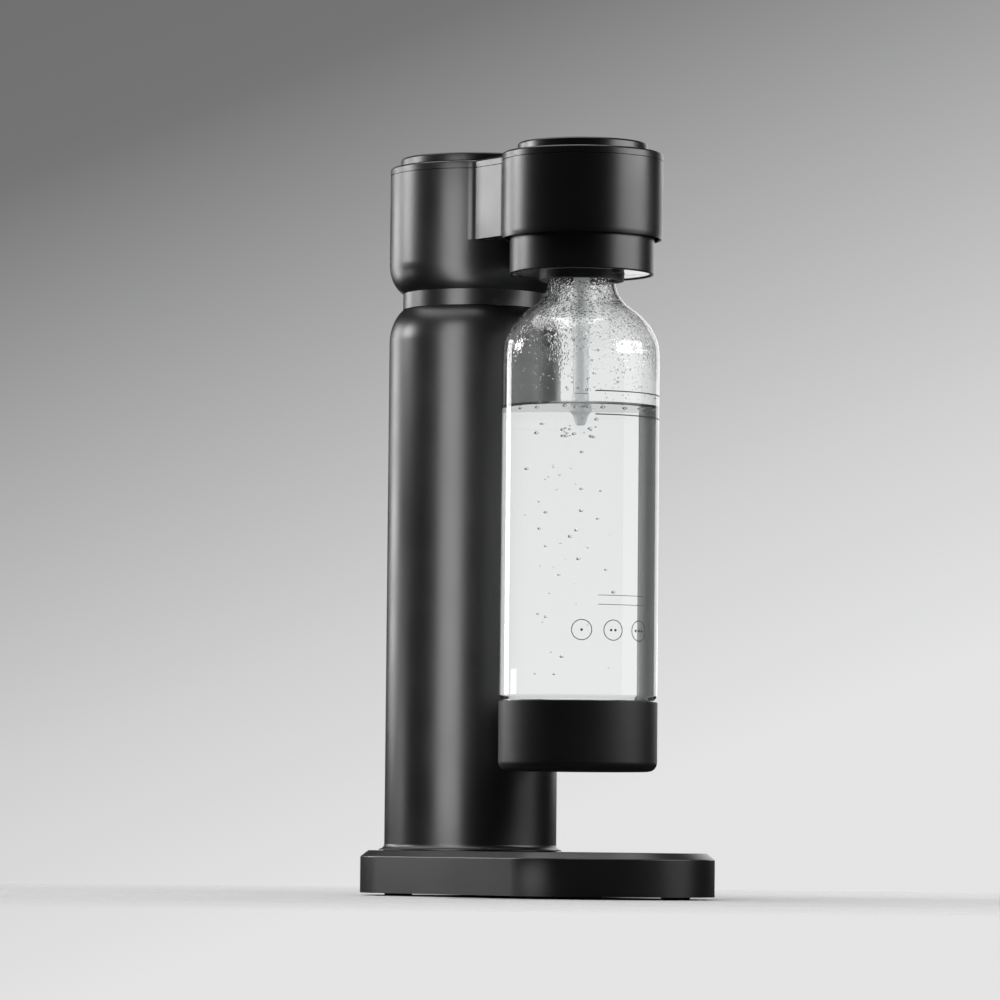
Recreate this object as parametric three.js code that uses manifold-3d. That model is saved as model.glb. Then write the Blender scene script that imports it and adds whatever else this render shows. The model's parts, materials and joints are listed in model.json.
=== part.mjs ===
// Soda carbonator: a gas-driven worktop machine. A round column holds the gas cylinder, and a head on
// top of it reaches forward over a hanging bottle, with the push button above the bottle.
// Millimetres, +Z up, +X from the column towards the bottle, origin at the middle of the footprint.
import * as THREE from "three";
import Module from "manifold-3d";
import { mergeVertices } from "three/addons/utils/BufferGeometryUtils.js";

const wasm = await Module();
wasm.setup();

// ---- Driving dimensions -------------------------------------------------------------------------
const CLEAR = 0.3; // gap between pieces that touch
const ROUND = 28; // facets of a large round
const SMALL_ROUND = 12; // facets of a small round

const BASE_END_R = 62.5;
const BASE_STRAIGHT = 125;
const BASE_HEIGHT = 24;
const BASE_CHAMFER_WIDTH = 4.5;
const BASE_CHAMFER_HEIGHT = 3.5;
const BASE_WALL = 2.5;
const BASE_TOP_WALL = 3;
const BASE_COVER_THICKNESS = 3;
const BASE_WEIGHT_THICKNESS = 5;
const FOOT_R = 8;
const FOOT_PROUD = 1.5;
const FOOT_SUNK = 1;
const FOOT_OUT = 28; // along the base from the centre of its round end
const FOOT_SIDE = 30;
const BASE_SCREW_SIDE = 50;
const BASE_SCREW_R = 1.5;
const BASE_SCREW_LENGTH = 12;
const SCREW_HEAD_R = 3.2;
const SCREW_HEAD_HEIGHT = 1.8;
const BOSS_R = 4;

const COLUMN_R = 49;
const COLUMN_WALL = 2.5;
const COLUMN_FLARE = 3;
const NECK_R = COLUMN_R - 7.6;
const SHOULDER_DROP = 19.2; // from the top of the column down to its straight side
const SHOULDER_LONG = 22; // half height of the shoulder's ellipse
const DOOR_HALF_ANGLE = THREE.MathUtils.degToRad(50);
const DOOR_BOTTOM = 20; // above the base
const DOOR_TOP = 36; // below the top of the column

const BOTTLE_GAP = 9.2; // from the column to the bottle
const HEAD_HEIGHT = 76.4; // neck included, up to the seam
const HEAD_NECK = 9;
const HEAD_REAR_R = COLUMN_R + 0.3;
const HEAD_BOWL = 16.5;
const HEAD_BOWL_LONG = 19;
const BUTTON_R = 36.4;
const HEAD_FRONT_R = BUTTON_R + 8.6;
const HEAD_FRONT_BOTTOM_R = HEAD_FRONT_R - 0.6;
const HEAD_FRONT_WALL = 1.3; // at the lower rim
const HEAD_FRONT_DEPTH = 43.5;
const HEAD_WALL = 2.5;
const HEAD_LEDGE = 2.5;
const ARM_HALF_WIDTH = 30;
const ARM_FILLET = 8;
const ARM_RAISE = 3; // underside of the arm above the front rim
const COVER_HEIGHT = 4.2;
const COVER_EDGE = 1.2;
const COVER_LIP = 3;
const CAP_PROUD = 5.5;
const CAP_R = HEAD_REAR_R - 5.8;
const CAP_EDGE = 1.2;
const CAP_SPIGOT_R = 20;
const COVER_SCREW_LENGTH = 12;
const BOSS_WEB = 3;
const BUTTON_GAP = 0.5;
const BUTTON_WALL = 2;
const BUTTON_SKIRT = 11;
const BUTTON_TRAVEL = 4;
const STEM_R = 6;
const STEM_FLANGE_R = 12;
const STEM_FLANGE_HEIGHT = 2.5;
const GUIDE_DROP = 10.5; // from the seam down to the guide's floor
const GUIDE_FLOOR = 2;
const SPRING_R = 10.9;
const SPRING_WIRE_R = 0.6;
const SPRING_TURNS = 4;

const LEVER_DROP = 14.5; // from the seam down to the lever's top
const LEVER_HEIGHT = 4;
const LEVER_HALF_WIDTH = 8;
const LEVER_BACK = 36.5; // column axis back to the lever's pivot
const LEVER_BARREL_R = 4;
const LEVER_PIN_R = 2;
const LEVER_NOSE = 6; // past the button's axis
const CHEEK = 2.5;

const CHASSIS_THICKNESS = 3;
const BLOCK_FLANGE_R = 29;
const BLOCK_FLANGE_HEIGHT = 4.8;
const BLOCK_R = 17;
const BLOCK_TOP_DROP = 16; // from the lever's underside down to the block's top
const VALVE_R = 12.5;
const VALVE_SEAT_DROP = 16; // from the block's top down to the top of the cylinder's valve
const SEAL_HEIGHT = 1.4;
const VALVE_PIN_R = 2;
const VALVE_PIN_HEAD_R = 4;
const VALVE_PIN_HEAD = 2.7;
const PORT_DROP = 8; // from the block's top down to its two side ports
const FITTING_R = 4.5;
const FITTING_LENGTH = 9;
const RELIEF_R = 5;
const RELIEF_LENGTH = 10;
const HOSE_R = 3;

const CYLINDER_R = 30;
const CYLINDER_NECK_R = 13;
const CYLINDER_BORE_R = 8;
const CYLINDER_WALL = 2;
const CYLINDER_SHOULDER = 25;
const CYLINDER_COLLAR = 7;
const CYLINDER_VALVE_LENGTH = 28;
const CRADLE_WALL = 2.4;
const CRADLE_FLOOR = 3;
const CRADLE_FLANGE = 8;
const ROD_R = 2.5;
const ROD_SIDE = 33.5; // tie rods, either side of the cylinder
const ROD_SUNK = 5;
const NUT_R = 4.6;
const NUT_HEIGHT = 4.5;
const CRADLE_SCREW_OUT = 40;

const BOTTLE_HEIGHT = 291.6; // underside of its cup to its mouth
const BOTTLE_LIFT = 44.9; // underside of its cup above the base
const BOTTLE_R = 43.8;
const BOTTLE_WALL = 1.1;
const BOTTLE_SHOULDER = 62; // mouth down to the straight side
const BOTTLE_NECK_R = 18.6;
const BOTTLE_NECK_WALL = 2;
const BOTTLE_NECK = 17; // mouth down to the foot of the neck
const THREAD_R = 19;
const CUP_R = 44.2;
const CUP_HEIGHT = 38.6;
const CUP_WALL = 2.1;
const CUP_CORNER = 4.5;

const MOUTH_COVER = 5; // mouth of the bottle below the front rim of the head
const HOLDER_R = HEAD_FRONT_BOTTOM_R - 4;
const HOLDER_WALL = 2;
const HOLDER_DROP = 19.8; // below the front rim of the head
const HOLDER_LIP = 2.5; // above that rim
const HOLDER_WEB = 1.5;
const HOLDER_WEB_DROP = 1; // top of the web below that rim
const WEB_HOLE_R = 13;
const TILT_RAISE = 3; // tilt axis above the front rim of the head
const TILT_PIN_R = 2;
const TILT_BOSS_R = 3.3;
const EAR_HALF_WIDTH = 6;
const EAR_THICKNESS = 4.3;
const EAR_RISE = 5; // above the tilt axis
const PLATE_THICKNESS = 1.6;
const PLATE_SUNK = 0.6;
const PLATE_SCREW_OUT = HOLDER_R - 8.4;
const COLLAR_R = 23.7;
const COLLAR_PROUD = 3.6; // below the holder
const NOZZLE_R = 4.6;
const NOZZLE_BORE_R = 2.2;
const NOZZLE_LENGTH = 84; // tube below the holder's web
const NOZZLE_TIP = 18;

// ---- Places worked out from them ----------------------------------------------------------------
const COLUMN_X = -BASE_STRAIGHT / 2;
const REACH = COLUMN_R + BOTTLE_GAP + BOTTLE_R; // column axis to bottle axis
const BOTTLE_X = COLUMN_X + REACH;
const BASE_BOTTOM = FOOT_PROUD;
const BASE_TOP = BASE_BOTTOM + BASE_HEIGHT;
const CUP_BOTTOM = BASE_TOP + BOTTLE_LIFT;
const MOUTH_Z = CUP_BOTTOM + BOTTLE_HEIGHT;
const RIM_Z = MOUTH_Z + MOUTH_COVER; // front rim of the head
const SEAM_Z = RIM_Z + HEAD_FRONT_DEPTH;
const COVER_TOP = SEAM_Z + CLEAR + COVER_HEIGHT;
const TOP_Z = COVER_TOP + CAP_PROUD;
const HEAD_BOTTOM = SEAM_Z - HEAD_HEIGHT;
const COLUMN_BOTTOM = BASE_TOP + CLEAR;
const COLUMN_TOP = HEAD_BOTTOM - CLEAR;
const COLUMN_INNER_R = COLUMN_R - COLUMN_WALL;
const LEVER_TOP = SEAM_Z - LEVER_DROP;
const LEVER_BOTTOM = LEVER_TOP - LEVER_HEIGHT;
const PIVOT_X = COLUMN_X - LEVER_BACK;
const PIVOT_Z = LEVER_TOP - LEVER_HEIGHT / 2;
const BLOCK_TOP = LEVER_BOTTOM - BLOCK_TOP_DROP;
const CHASSIS_BOTTOM = HEAD_BOTTOM + HEAD_LEDGE + CLEAR;
const CHASSIS_TOP = CHASSIS_BOTTOM + CHASSIS_THICKNESS;
const VALVE_TOP = BLOCK_TOP - VALVE_SEAT_DROP;
const PORT_Z = BLOCK_TOP - PORT_DROP;
const CRADLE_BOTTOM = BASE_BOTTOM + BASE_COVER_THICKNESS + CLEAR;
const CYLINDER_BOTTOM = CRADLE_BOTTOM + CRADLE_FLOOR + CLEAR;
const CYLINDER_TOP = VALVE_TOP - CYLINDER_VALVE_LENGTH - CLEAR;
const CRADLE_TOP = COLUMN_BOTTOM + CRADLE_FLANGE;
const HOLDER_BOTTOM = RIM_Z - HOLDER_DROP;
const WEB_TOP = RIM_Z - HOLDER_WEB_DROP;
const WEB_BOTTOM = WEB_TOP - HOLDER_WEB;
const TILT_Z = RIM_Z + TILT_RAISE;
const RIM_INNER_R = HEAD_FRONT_BOTTOM_R - HEAD_FRONT_WALL;
const EAR_OUTER = HOLDER_R - HOLDER_WALL - CLEAR - 0.3;
const GUIDE_TOP = SEAM_Z - GUIDE_DROP + GUIDE_FLOOR;
const BUTTON_HOLE_R = BUTTON_R + BUTTON_GAP;
const HOSE_END = 16; // side distance at which the hose meets the nozzle block

// ---- Finishes -----------------------------------------------------------------------------------
const finish = (color, roughness, metalness) => ({ color, roughness, metalness });
const SATIN_BLACK = finish(0x17181a, 0.42, 0.1);
const DARK_PLASTIC = finish(0x1c1c1e, 0.6, 0);
const STEEL = finish(0x9a9da1, 0.35, 1);
const BRASS = finish(0xb08d4f, 0.35, 1);
const ZINC = finish(0x8d9094, 0.5, 1);
const RUBBER = finish(0x111111, 0.9, 0);
const CYLINDER_GREY = finish(0x5f666d, 0.4, 0.3);
const CLEAR_PLASTIC = finish(0xdfe8ec, 0.08, 0);
const PALE_PLASTIC = finish(0xe6e8e6, 0.4, 0);

// ---- Solids -------------------------------------------------------------------------------------
/** A closed three.js geometry as a solid, its faces turned outwards. */
function solidOf(geometry) {
  const bare = geometry.clone();
  bare.deleteAttribute("normal");
  bare.deleteAttribute("uv");
  const merged = mergeVertices(bare, 1e-4);
  const corners = [...merged.index.array];
  const whole = [];
  for (let i = 0; i < corners.length; i += 3) {
    const [a, b, c] = corners.slice(i, i + 3);
    if (a !== b && b !== c && c !== a) whole.push(a, b, c);
  }
  const build = (list) =>
    new wasm.Manifold(
      new wasm.Mesh({
        numProp: 3,
        vertProperties: merged.attributes.position.array,
        triVerts: new Uint32Array(list),
      }),
    );
  const made = build(whole);
  return made.volume() < 0 ? build(whole.reverse()) : made;
}

/** A profile of [radius, height] points turned about a vertical axis at x. */
function turned(profile, x = 0, segments = ROUND) {
  const points = profile.map(([r, z]) => new THREE.Vector2(r, z));
  const [first, last] = [points[0], points.at(-1)];
  const onAxis = first.x === 0 && last.x === 0;
  if (!onAxis) points.push(first.clone());
  const lathe = new THREE.LatheGeometry(points, segments);
  return solidOf(lathe.rotateX(Math.PI / 2).translate(x, 0, 0));
}

/** A turned profile laid on its side, so that its height runs along the direction given. */
function turnedAlong(profile, direction, at, segments = SMALL_ROUND) {
  const points = profile.map(([r, z]) => new THREE.Vector2(r, z));
  if (points[0].x !== 0 || points.at(-1).x !== 0) points.push(points[0].clone());
  const lathe = new THREE.LatheGeometry(points, segments);
  const turn = new THREE.Quaternion().setFromUnitVectors(
    new THREE.Vector3(0, 1, 0),
    new THREE.Vector3(...direction).normalize(),
  );
  return solidOf(lathe.applyQuaternion(turn).translate(...at));
}

/** An upright disc or round bar between two heights. */
const disc = (r, bottom, top, x = 0, y = 0, segments = SMALL_ROUND) =>
  turned([[0, bottom], [r, bottom], [r, top], [0, top]], 0, segments).translate([x, y, 0]);

/** A box between two corners. */
function block([x0, y0, z0], [x1, y1, z1]) {
  const box = new THREE.BoxGeometry(x1 - x0, y1 - y0, z1 - z0);
  return solidOf(box.translate((x0 + x1) / 2, (y0 + y1) / 2, (z0 + z1) / 2));
}

/** A flat outline extruded between two heights. */
function slab(shape, bottom, top, curveSegments = 12) {
  const geometry = new THREE.ExtrudeGeometry(shape, {
    depth: top - bottom,
    bevelEnabled: false,
    curveSegments,
  });
  return solidOf(geometry.translate(0, 0, bottom));
}

/** Several solids joined into one. */
const joined = (first, ...rest) => rest.reduce((whole, piece) => whole.add(piece), first);

/** A solid with several others cut away. */
const cut = (first, ...rest) => rest.reduce((whole, piece) => whole.subtract(piece), first);

/** Points of a quarter ellipse from the straight side (r, z) inwards by `across`, over `rise`. */
function shoulder(r, z, across, long, rise, steps = 4) {
  const points = [];
  for (let i = 0; i <= steps; i += 1) {
    const t = rise * Math.sin(((Math.PI / 2) * i) / steps);
    const share = Math.sqrt(Math.max(0, 1 - (t / long) ** 2));
    points.push([r - across * (1 - share), z + Math.sign(long) * t]);
  }
  return points;
}

/** The ellipse's half width that brings a shoulder from radius r to radius end over `rise`. */
const acrossFor = (r, end, long, rise) => (r - end) / (1 - Math.sqrt(1 - (rise / long) ** 2));

/** Points of a quarter round between an upright side and a flat face, outside edge first. */
function roundedEdge(r, flat, radius, steps = 2) {
  const points = [];
  for (let i = 0; i <= steps; i += 1) {
    const angle = ((Math.PI / 2) * i) / steps;
    const rise = radius * Math.sin(angle);
    points.push([r - radius + radius * Math.cos(angle), flat - radius + rise]);
  }
  return points;
}

/** A mesh with its own material, from a solid. */
function piece(name, solid, look) {
  const { vertProperties, triVerts, numProp } = solid.getMesh();
  const positions = new Float32Array((vertProperties.length / numProp) * 3);
  for (let i = 0; i * numProp < vertProperties.length; i += 1) {
    positions.set(vertProperties.subarray(i * numProp, i * numProp + 3), i * 3);
  }
  const geometry = new THREE.BufferGeometry();
  geometry.setAttribute("position", new THREE.BufferAttribute(positions, 3));
  geometry.setIndex(new THREE.BufferAttribute(new Uint32Array(triVerts), 1));
  geometry.computeVertexNormals();
  const mesh = new THREE.Mesh(geometry, new THREE.MeshStandardMaterial(look));
  mesh.name = name;
  return mesh;
}

/** A group of meshes. */
function groupOf(...meshes) {
  const group = new THREE.Group();
  group.add(...meshes);
  return group;
}

// ---- Base ---------------------------------------------------------------------------------------
/** A profile swept round the base's outline: turned at both ends and drawn straight between them. */
function roundEnded(profile) {
  const section = new THREE.Shape();
  profile.forEach(([r, z], i) => (i ? section.lineTo(r, z) : section.moveTo(r, z)));
  [...profile].reverse().forEach(([r, z]) => r > 0 && section.lineTo(-r, z));
  const middle = new THREE.ExtrudeGeometry(section, { depth: BASE_STRAIGHT, bevelEnabled: false });
  middle.rotateX(Math.PI / 2).rotateZ(Math.PI / 2).translate(-BASE_STRAIGHT / 2, 0, 0);
  return joined(solidOf(middle), turned(profile, -BASE_STRAIGHT / 2), turned(profile, BASE_STRAIGHT / 2));
}

/** Runs a function at each of the four corners of the base. */
const corners = (along, side, make) =>
  [[-1, -1], [-1, 1], [1, -1], [1, 1]].map(([sx, sy], i) => make(sx * along, sy * side, i + 1));

const baseScrews = (make) => corners(BASE_STRAIGHT / 2, BASE_SCREW_SIDE, make);
const feet = (make) => corners(BASE_STRAIGHT / 2 + FOOT_OUT, FOOT_SIDE, make);
const cradleScrews = (make) => [-1, 1].map((side) => make(COLUMN_X + side * CRADLE_SCREW_OUT, side));
const WELL_R = CYLINDER_R + 2 * CLEAR + CRADLE_WALL;

function baseShell() {
  const slope = BASE_TOP - BASE_CHAMFER_HEIGHT;
  const inner = BASE_END_R - BASE_WALL;
  const roof = BASE_TOP - BASE_TOP_WALL;
  const outside = roundEnded([
    [0, BASE_BOTTOM],
    [BASE_END_R, BASE_BOTTOM],
    [BASE_END_R, slope],
    [BASE_END_R - BASE_CHAMFER_WIDTH, BASE_TOP],
    [0, BASE_TOP],
  ]);
  const inside = roundEnded([
    [0, BASE_BOTTOM - 1],
    [inner, BASE_BOTTOM - 1],
    [inner, slope - 1],
    [inner - BASE_CHAMFER_WIDTH, roof],
    [0, roof],
  ]);
  const bossBottom = BASE_BOTTOM + BASE_COVER_THICKNESS + CLEAR;
  const bosses = baseScrews((x, y) => disc(BOSS_R, bossBottom, roof + 1, x, y));
  const bores = baseScrews((x, y) => disc(BASE_SCREW_R + CLEAR, 0, BASE_SCREW_LENGTH + 5, x, y));
  const cradleBores = cradleScrews((x) => disc(BASE_SCREW_R + CLEAR, roof - 1, BASE_TOP + 1, x));
  const well = disc(WELL_R + CLEAR, roof - 1, BASE_TOP + 1, COLUMN_X, 0, ROUND);
  return cut(joined(cut(outside, inside), ...bosses), ...bores, ...cradleBores, well);
}

function baseWeight() {
  const bottom = BASE_BOTTOM + BASE_COVER_THICKNESS + CLEAR;
  const r = BASE_END_R - BASE_WALL - 4 * CLEAR;
  const top = bottom + BASE_WEIGHT_THICKNESS;
  const plate = roundEnded([[0, bottom], [r, bottom], [r, top], [0, top]]);
  const holes = baseScrews((x, y) => disc(BOSS_R + 2 * CLEAR, bottom - 1, top + 1, x, y));
  return cut(plate, ...holes, disc(WELL_R + 2 * CLEAR, bottom - 1, top + 1, COLUMN_X, 0, ROUND));
}

function baseCover() {
  const top = BASE_BOTTOM + BASE_COVER_THICKNESS;
  const r = BASE_END_R - BASE_WALL - CLEAR;
  const plate = roundEnded([[0, BASE_BOTTOM], [r, BASE_BOTTOM], [r, top], [0, top]]);
  const sunk = BASE_BOTTOM + SCREW_HEAD_HEIGHT + 2 * CLEAR;
  const heads = baseScrews((x, y) => disc(SCREW_HEAD_R + CLEAR, BASE_BOTTOM - 1, sunk, x, y));
  const bores = baseScrews((x, y) => disc(BASE_SCREW_R + CLEAR, BASE_BOTTOM, top + 1, x, y));
  const seats = feet((x, y) => disc(FOOT_R + CLEAR, 0, BASE_BOTTOM + FOOT_SUNK, x, y, 16));
  return cut(plate, ...heads, ...bores, ...seats);
}

/** A foot pad that narrows a little towards the worktop. */
const footPad = (x, y) =>
  turned(
    [[0, 0], [FOOT_R - 1, 0], [FOOT_R, 0.8], [FOOT_R, BASE_BOTTOM + FOOT_SUNK - CLEAR],
      [0, BASE_BOTTOM + FOOT_SUNK - CLEAR]],
    0,
    16,
  ).translate([x, y, 0]);

/** A pan-head screw standing on its head. */
function screw(shankR, length, headBottom) {
  const neck = headBottom + SCREW_HEAD_HEIGHT;
  const profile = [[0, headBottom], [SCREW_HEAD_R - 0.5, headBottom], [SCREW_HEAD_R, headBottom + 0.6],
    [SCREW_HEAD_R, neck], [shankR, neck], [shankR, neck + length - 1], [shankR - 0.7, neck + length],
    [0, neck + length]];
  return turned(profile, 0, 8);
}

const baseScrew = (x, y) =>
  screw(BASE_SCREW_R, BASE_SCREW_LENGTH, BASE_BOTTOM + CLEAR).translate([x, y, 0]);

function base() {
  return groupOf(
    piece("base_shell", baseShell(), SATIN_BLACK),
    piece("base_weight", baseWeight(), STEEL),
    piece("base_cover", baseCover(), DARK_PLASTIC),
    ...feet((x, y, i) => piece(`rubber_foot_${i}`, footPad(x, y), RUBBER)),
    ...baseScrews((x, y, i) => piece(`base_screw_${i}`, baseScrew(x, y), STEEL)),
  );
}

// ---- Column and its door ------------------------------------------------------------------------
/** The outside or the inside of the column as a full solid: `inset` is the wall. */
function columnSolid(inset) {
  const side = COLUMN_R - inset;
  const foot = inset ? [[0, COLUMN_BOTTOM - 1], [side, COLUMN_BOTTOM - 1]] : flaredFoot();
  const across = acrossFor(COLUMN_R, NECK_R, SHOULDER_LONG, SHOULDER_DROP) - inset;
  const long = SHOULDER_LONG - inset / 8;
  const curve = shoulder(side, COLUMN_TOP - SHOULDER_DROP, across, long, SHOULDER_DROP);
  const roof = inset ? [[curve.at(-1)[0], COLUMN_TOP + 1], [0, COLUMN_TOP + 1]] : [[0, COLUMN_TOP]];
  return turned([...foot, ...curve, ...roof], COLUMN_X);
}

/** The small cove where the column meets the base. */
function flaredFoot(steps = 3) {
  const points = [[0, COLUMN_BOTTOM]];
  for (let i = 0; i <= steps; i += 1) {
    const angle = ((Math.PI / 2) * i) / steps;
    const r = COLUMN_R + COLUMN_FLARE * (1 - Math.sin(angle));
    points.push([r, COLUMN_BOTTOM + 0.6 + COLUMN_FLARE * (1 - Math.cos(angle))]);
  }
  points.splice(1, 0, [COLUMN_R + COLUMN_FLARE, COLUMN_BOTTOM]);
  return points;
}

/** A wedge behind the column axis, between two heights, narrowed by `gap` all round. */
function doorWedge(gap) {
  const half = DOOR_HALF_ANGLE - gap / COLUMN_R;
  const far = COLUMN_R * 1.3;
  const wedge = new THREE.Shape();
  wedge.moveTo(COLUMN_X, 0);
  wedge.lineTo(COLUMN_X - far * Math.cos(half), far * Math.sin(half));
  wedge.absarc(COLUMN_X, 0, far, Math.PI - half, Math.PI + half, false);
  wedge.closePath();
  return slab(wedge, BASE_TOP + DOOR_BOTTOM + gap, COLUMN_TOP - DOOR_TOP - gap);
}

const columnWall = () => columnSolid(0).subtract(columnSolid(COLUMN_WALL));
const columnTube = () => columnWall().subtract(doorWedge(0));

/** The door: the part of the wall in the wedge, with a locating rib near each end. */
function backCover() {
  const panel = columnWall().intersect(doorWedge(CLEAR));
  const rib = (z) => {
    const ring = cut(
      disc(COLUMN_INNER_R + 0.5, z, z + 4, COLUMN_X, 0, ROUND),
      disc(COLUMN_INNER_R - 3, z - 1, z + 5, COLUMN_X, 0, ROUND),
    );
    return ring.intersect(block([-500, -COLUMN_R / 3, z - 1], [COLUMN_X, COLUMN_R / 3, z + 5]));
  };
  return joined(panel, rib(BASE_TOP + DOOR_BOTTOM + 8), rib(COLUMN_TOP - DOOR_TOP - 14));
}

// ---- Gas cylinder and what holds it -------------------------------------------------------------
const rods = (make) => [["left", 1], ["right", -1]].map(([side, sy]) => make(side, sy * ROD_SIDE));

function cradle() {
  const well = WELL_R - CRADLE_WALL;
  const cup = turned(
    [[0, CRADLE_BOTTOM], [WELL_R, CRADLE_BOTTOM], [WELL_R, COLUMN_BOTTOM],
      [COLUMN_INNER_R - CLEAR, COLUMN_BOTTOM], [COLUMN_INNER_R - CLEAR, CRADLE_TOP - 1],
      [COLUMN_INNER_R - CLEAR - 1, CRADLE_TOP], [well + 1, CRADLE_TOP], [well, CRADLE_TOP - 1],
      [well, CRADLE_BOTTOM + CRADLE_FLOOR], [0, CRADLE_BOTTOM + CRADLE_FLOOR]],
    COLUMN_X,
  );
  const sockets = rods((side, y) => disc(ROD_R + CLEAR, CRADLE_TOP - ROD_SUNK, CRADLE_TOP + 1, COLUMN_X, y));
  const bores = cradleScrews((x) => disc(BASE_SCREW_R + CLEAR, COLUMN_BOTTOM - 1, CRADLE_TOP - 1.5, x));
  return cut(cup, ...sockets, ...bores);
}

/** Up through the base's top into the cradle's flange. */
const cradleScrew = (x) => {
  const head = BASE_TOP - BASE_TOP_WALL - CLEAR - SCREW_HEAD_HEIGHT;
  return screw(BASE_SCREW_R, BASE_TOP_WALL + 2 * CLEAR + CRADLE_FLANGE - 3, head).translate([x, 0, 0]);
};

/** Hollow pressed-steel cylinder, open where its valve screws in. */
function gasCylinder() {
  const side = CYLINDER_TOP - CYLINDER_COLLAR - CYLINDER_SHOULDER;
  const dome = (inset, steps = 4) => {
    const points = [];
    for (let i = 0; i <= steps; i += 1) {
      const angle = ((Math.PI / 2) * i) / steps;
      const neck = inset ? CYLINDER_BORE_R : CYLINDER_NECK_R;
      const r = neck + (CYLINDER_R - inset - neck) * Math.cos(angle);
      points.push([r, side + (CYLINDER_SHOULDER - inset) * Math.sin(angle)]);
    }
    return points;
  };
  const wall = CYLINDER_WALL;
  return turned(
    [[0, CYLINDER_BOTTOM + 4], [14, CYLINDER_BOTTOM + 3.5], [20, CYLINDER_BOTTOM],
      [CYLINDER_R - 6, CYLINDER_BOTTOM], [CYLINDER_R, CYLINDER_BOTTOM + 7], ...dome(0),
      [CYLINDER_NECK_R, CYLINDER_TOP], [CYLINDER_BORE_R, CYLINDER_TOP], ...dome(wall).reverse(),
      [CYLINDER_R - wall, CYLINDER_BOTTOM + 8], [20, CYLINDER_BOTTOM + 6], [0, CYLINDER_BOTTOM + 6]],
    COLUMN_X,
    24,
  );
}

/** Brass valve on the cylinder: a hexagon below and a plain round body above, with its stem hole. */
function cylinderValve() {
  const bottom = CYLINDER_TOP + CLEAR;
  const hexagon = turned(
    [[0, bottom], [VALVE_R, bottom], [VALVE_R, bottom + 8], [0, bottom + 8]],
    COLUMN_X,
    6,
  );
  const body = disc(VALVE_R - 1.5, bottom, VALVE_TOP - 1, COLUMN_X, 0, 24);
  const nose = disc(VALVE_R - 3, bottom + 2, VALVE_TOP, COLUMN_X, 0, 24);
  const bore = disc(VALVE_PIN_R + 1, VALVE_TOP - 6, VALVE_TOP + 1, COLUMN_X);
  return cut(joined(hexagon, body, nose), bore);
}

const tieRod = (y) => {
  const bottom = CRADLE_TOP - ROD_SUNK + CLEAR;
  const top = CHASSIS_TOP + CLEAR + NUT_HEIGHT + 1.5;
  return turned(
    [[0, bottom], [ROD_R, bottom], [ROD_R, top - 1], [ROD_R - 1, top], [0, top]],
    0,
    12,
  ).translate([COLUMN_X, y, 0]);
};

const rodNut = (y) =>
  cut(
    disc(NUT_R, CHASSIS_TOP + CLEAR, CHASSIS_TOP + CLEAR + NUT_HEIGHT, COLUMN_X, y, 6),
    disc(ROD_R + CLEAR / 2, CHASSIS_TOP, CHASSIS_TOP + NUT_HEIGHT + 1, COLUMN_X, y, 12),
  );

function chassisPlate() {
  const plate = disc(NECK_R - HEAD_WALL - CLEAR, CHASSIS_BOTTOM, CHASSIS_TOP, COLUMN_X, 0, ROUND);
  const hole = disc(VALVE_R + 3, CHASSIS_BOTTOM - 1, CHASSIS_TOP + 1, COLUMN_X, 0, 24);
  const sockets = rods((side, y) => disc(ROD_R + CLEAR, CHASSIS_BOTTOM - 1, CHASSIS_TOP + 1, COLUMN_X, y));
  return cut(plate, hole, ...sockets);
}

function column() {
  return groupOf(
    piece("column_tube", columnTube(), SATIN_BLACK),
    piece("back_cover", backCover(), SATIN_BLACK),
    piece("cylinder_cradle", cradle(), DARK_PLASTIC),
    ...cradleScrews((x, side) => piece(`cradle_screw_${side > 0 ? "front" : "rear"}`, cradleScrew(x), STEEL)),
    ...rods((side, y) => piece(`tie_rod_${side}`, tieRod(y), STEEL)),
    ...rods((side, y) => piece(`rod_nut_${side}`, rodNut(y), STEEL)),
    piece("chassis_plate", chassisPlate(), STEEL),
    piece("gas_cylinder", gasCylinder(), CYLINDER_GREY),
    piece("cylinder_valve", cylinderValve(), BRASS),
  );
}

// ---- Head ---------------------------------------------------------------------------------------
/** The arm's outline between the two round heads, with a cove where its sides meet each. */
function armOutline() {
  const reachOf = (r) => Math.sqrt((r + ARM_FILLET) ** 2 - (ARM_HALF_WIDTH + ARM_FILLET) ** 2);
  const rear = COLUMN_X + reachOf(HEAD_REAR_R);
  const front = BOTTLE_X - reachOf(HEAD_FRONT_R);
  const y = ARM_HALF_WIDTH + ARM_FILLET;
  const turnOf = (r) => Math.atan2(ARM_HALF_WIDTH + ARM_FILLET, reachOf(r));
  const [a, b] = [turnOf(HEAD_REAR_R), turnOf(HEAD_FRONT_R)];
  const outline = new THREE.Shape();
  outline.moveTo(COLUMN_X, y / 2);
  outline.lineTo(COLUMN_X, -y / 2);
  outline.absarc(rear, -y, ARM_FILLET, Math.PI - a, Math.PI / 2, true);
  outline.absarc(front, -y, ARM_FILLET, Math.PI / 2, b, true);
  outline.lineTo(BOTTLE_X, -y / 2);
  outline.lineTo(BOTTLE_X, y / 2);
  outline.absarc(front, y, ARM_FILLET, -b, -Math.PI / 2, true);
  outline.absarc(rear, y, ARM_FILLET, -Math.PI / 2, -Math.PI + a, true);
  outline.closePath();
  return outline;
}

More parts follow.
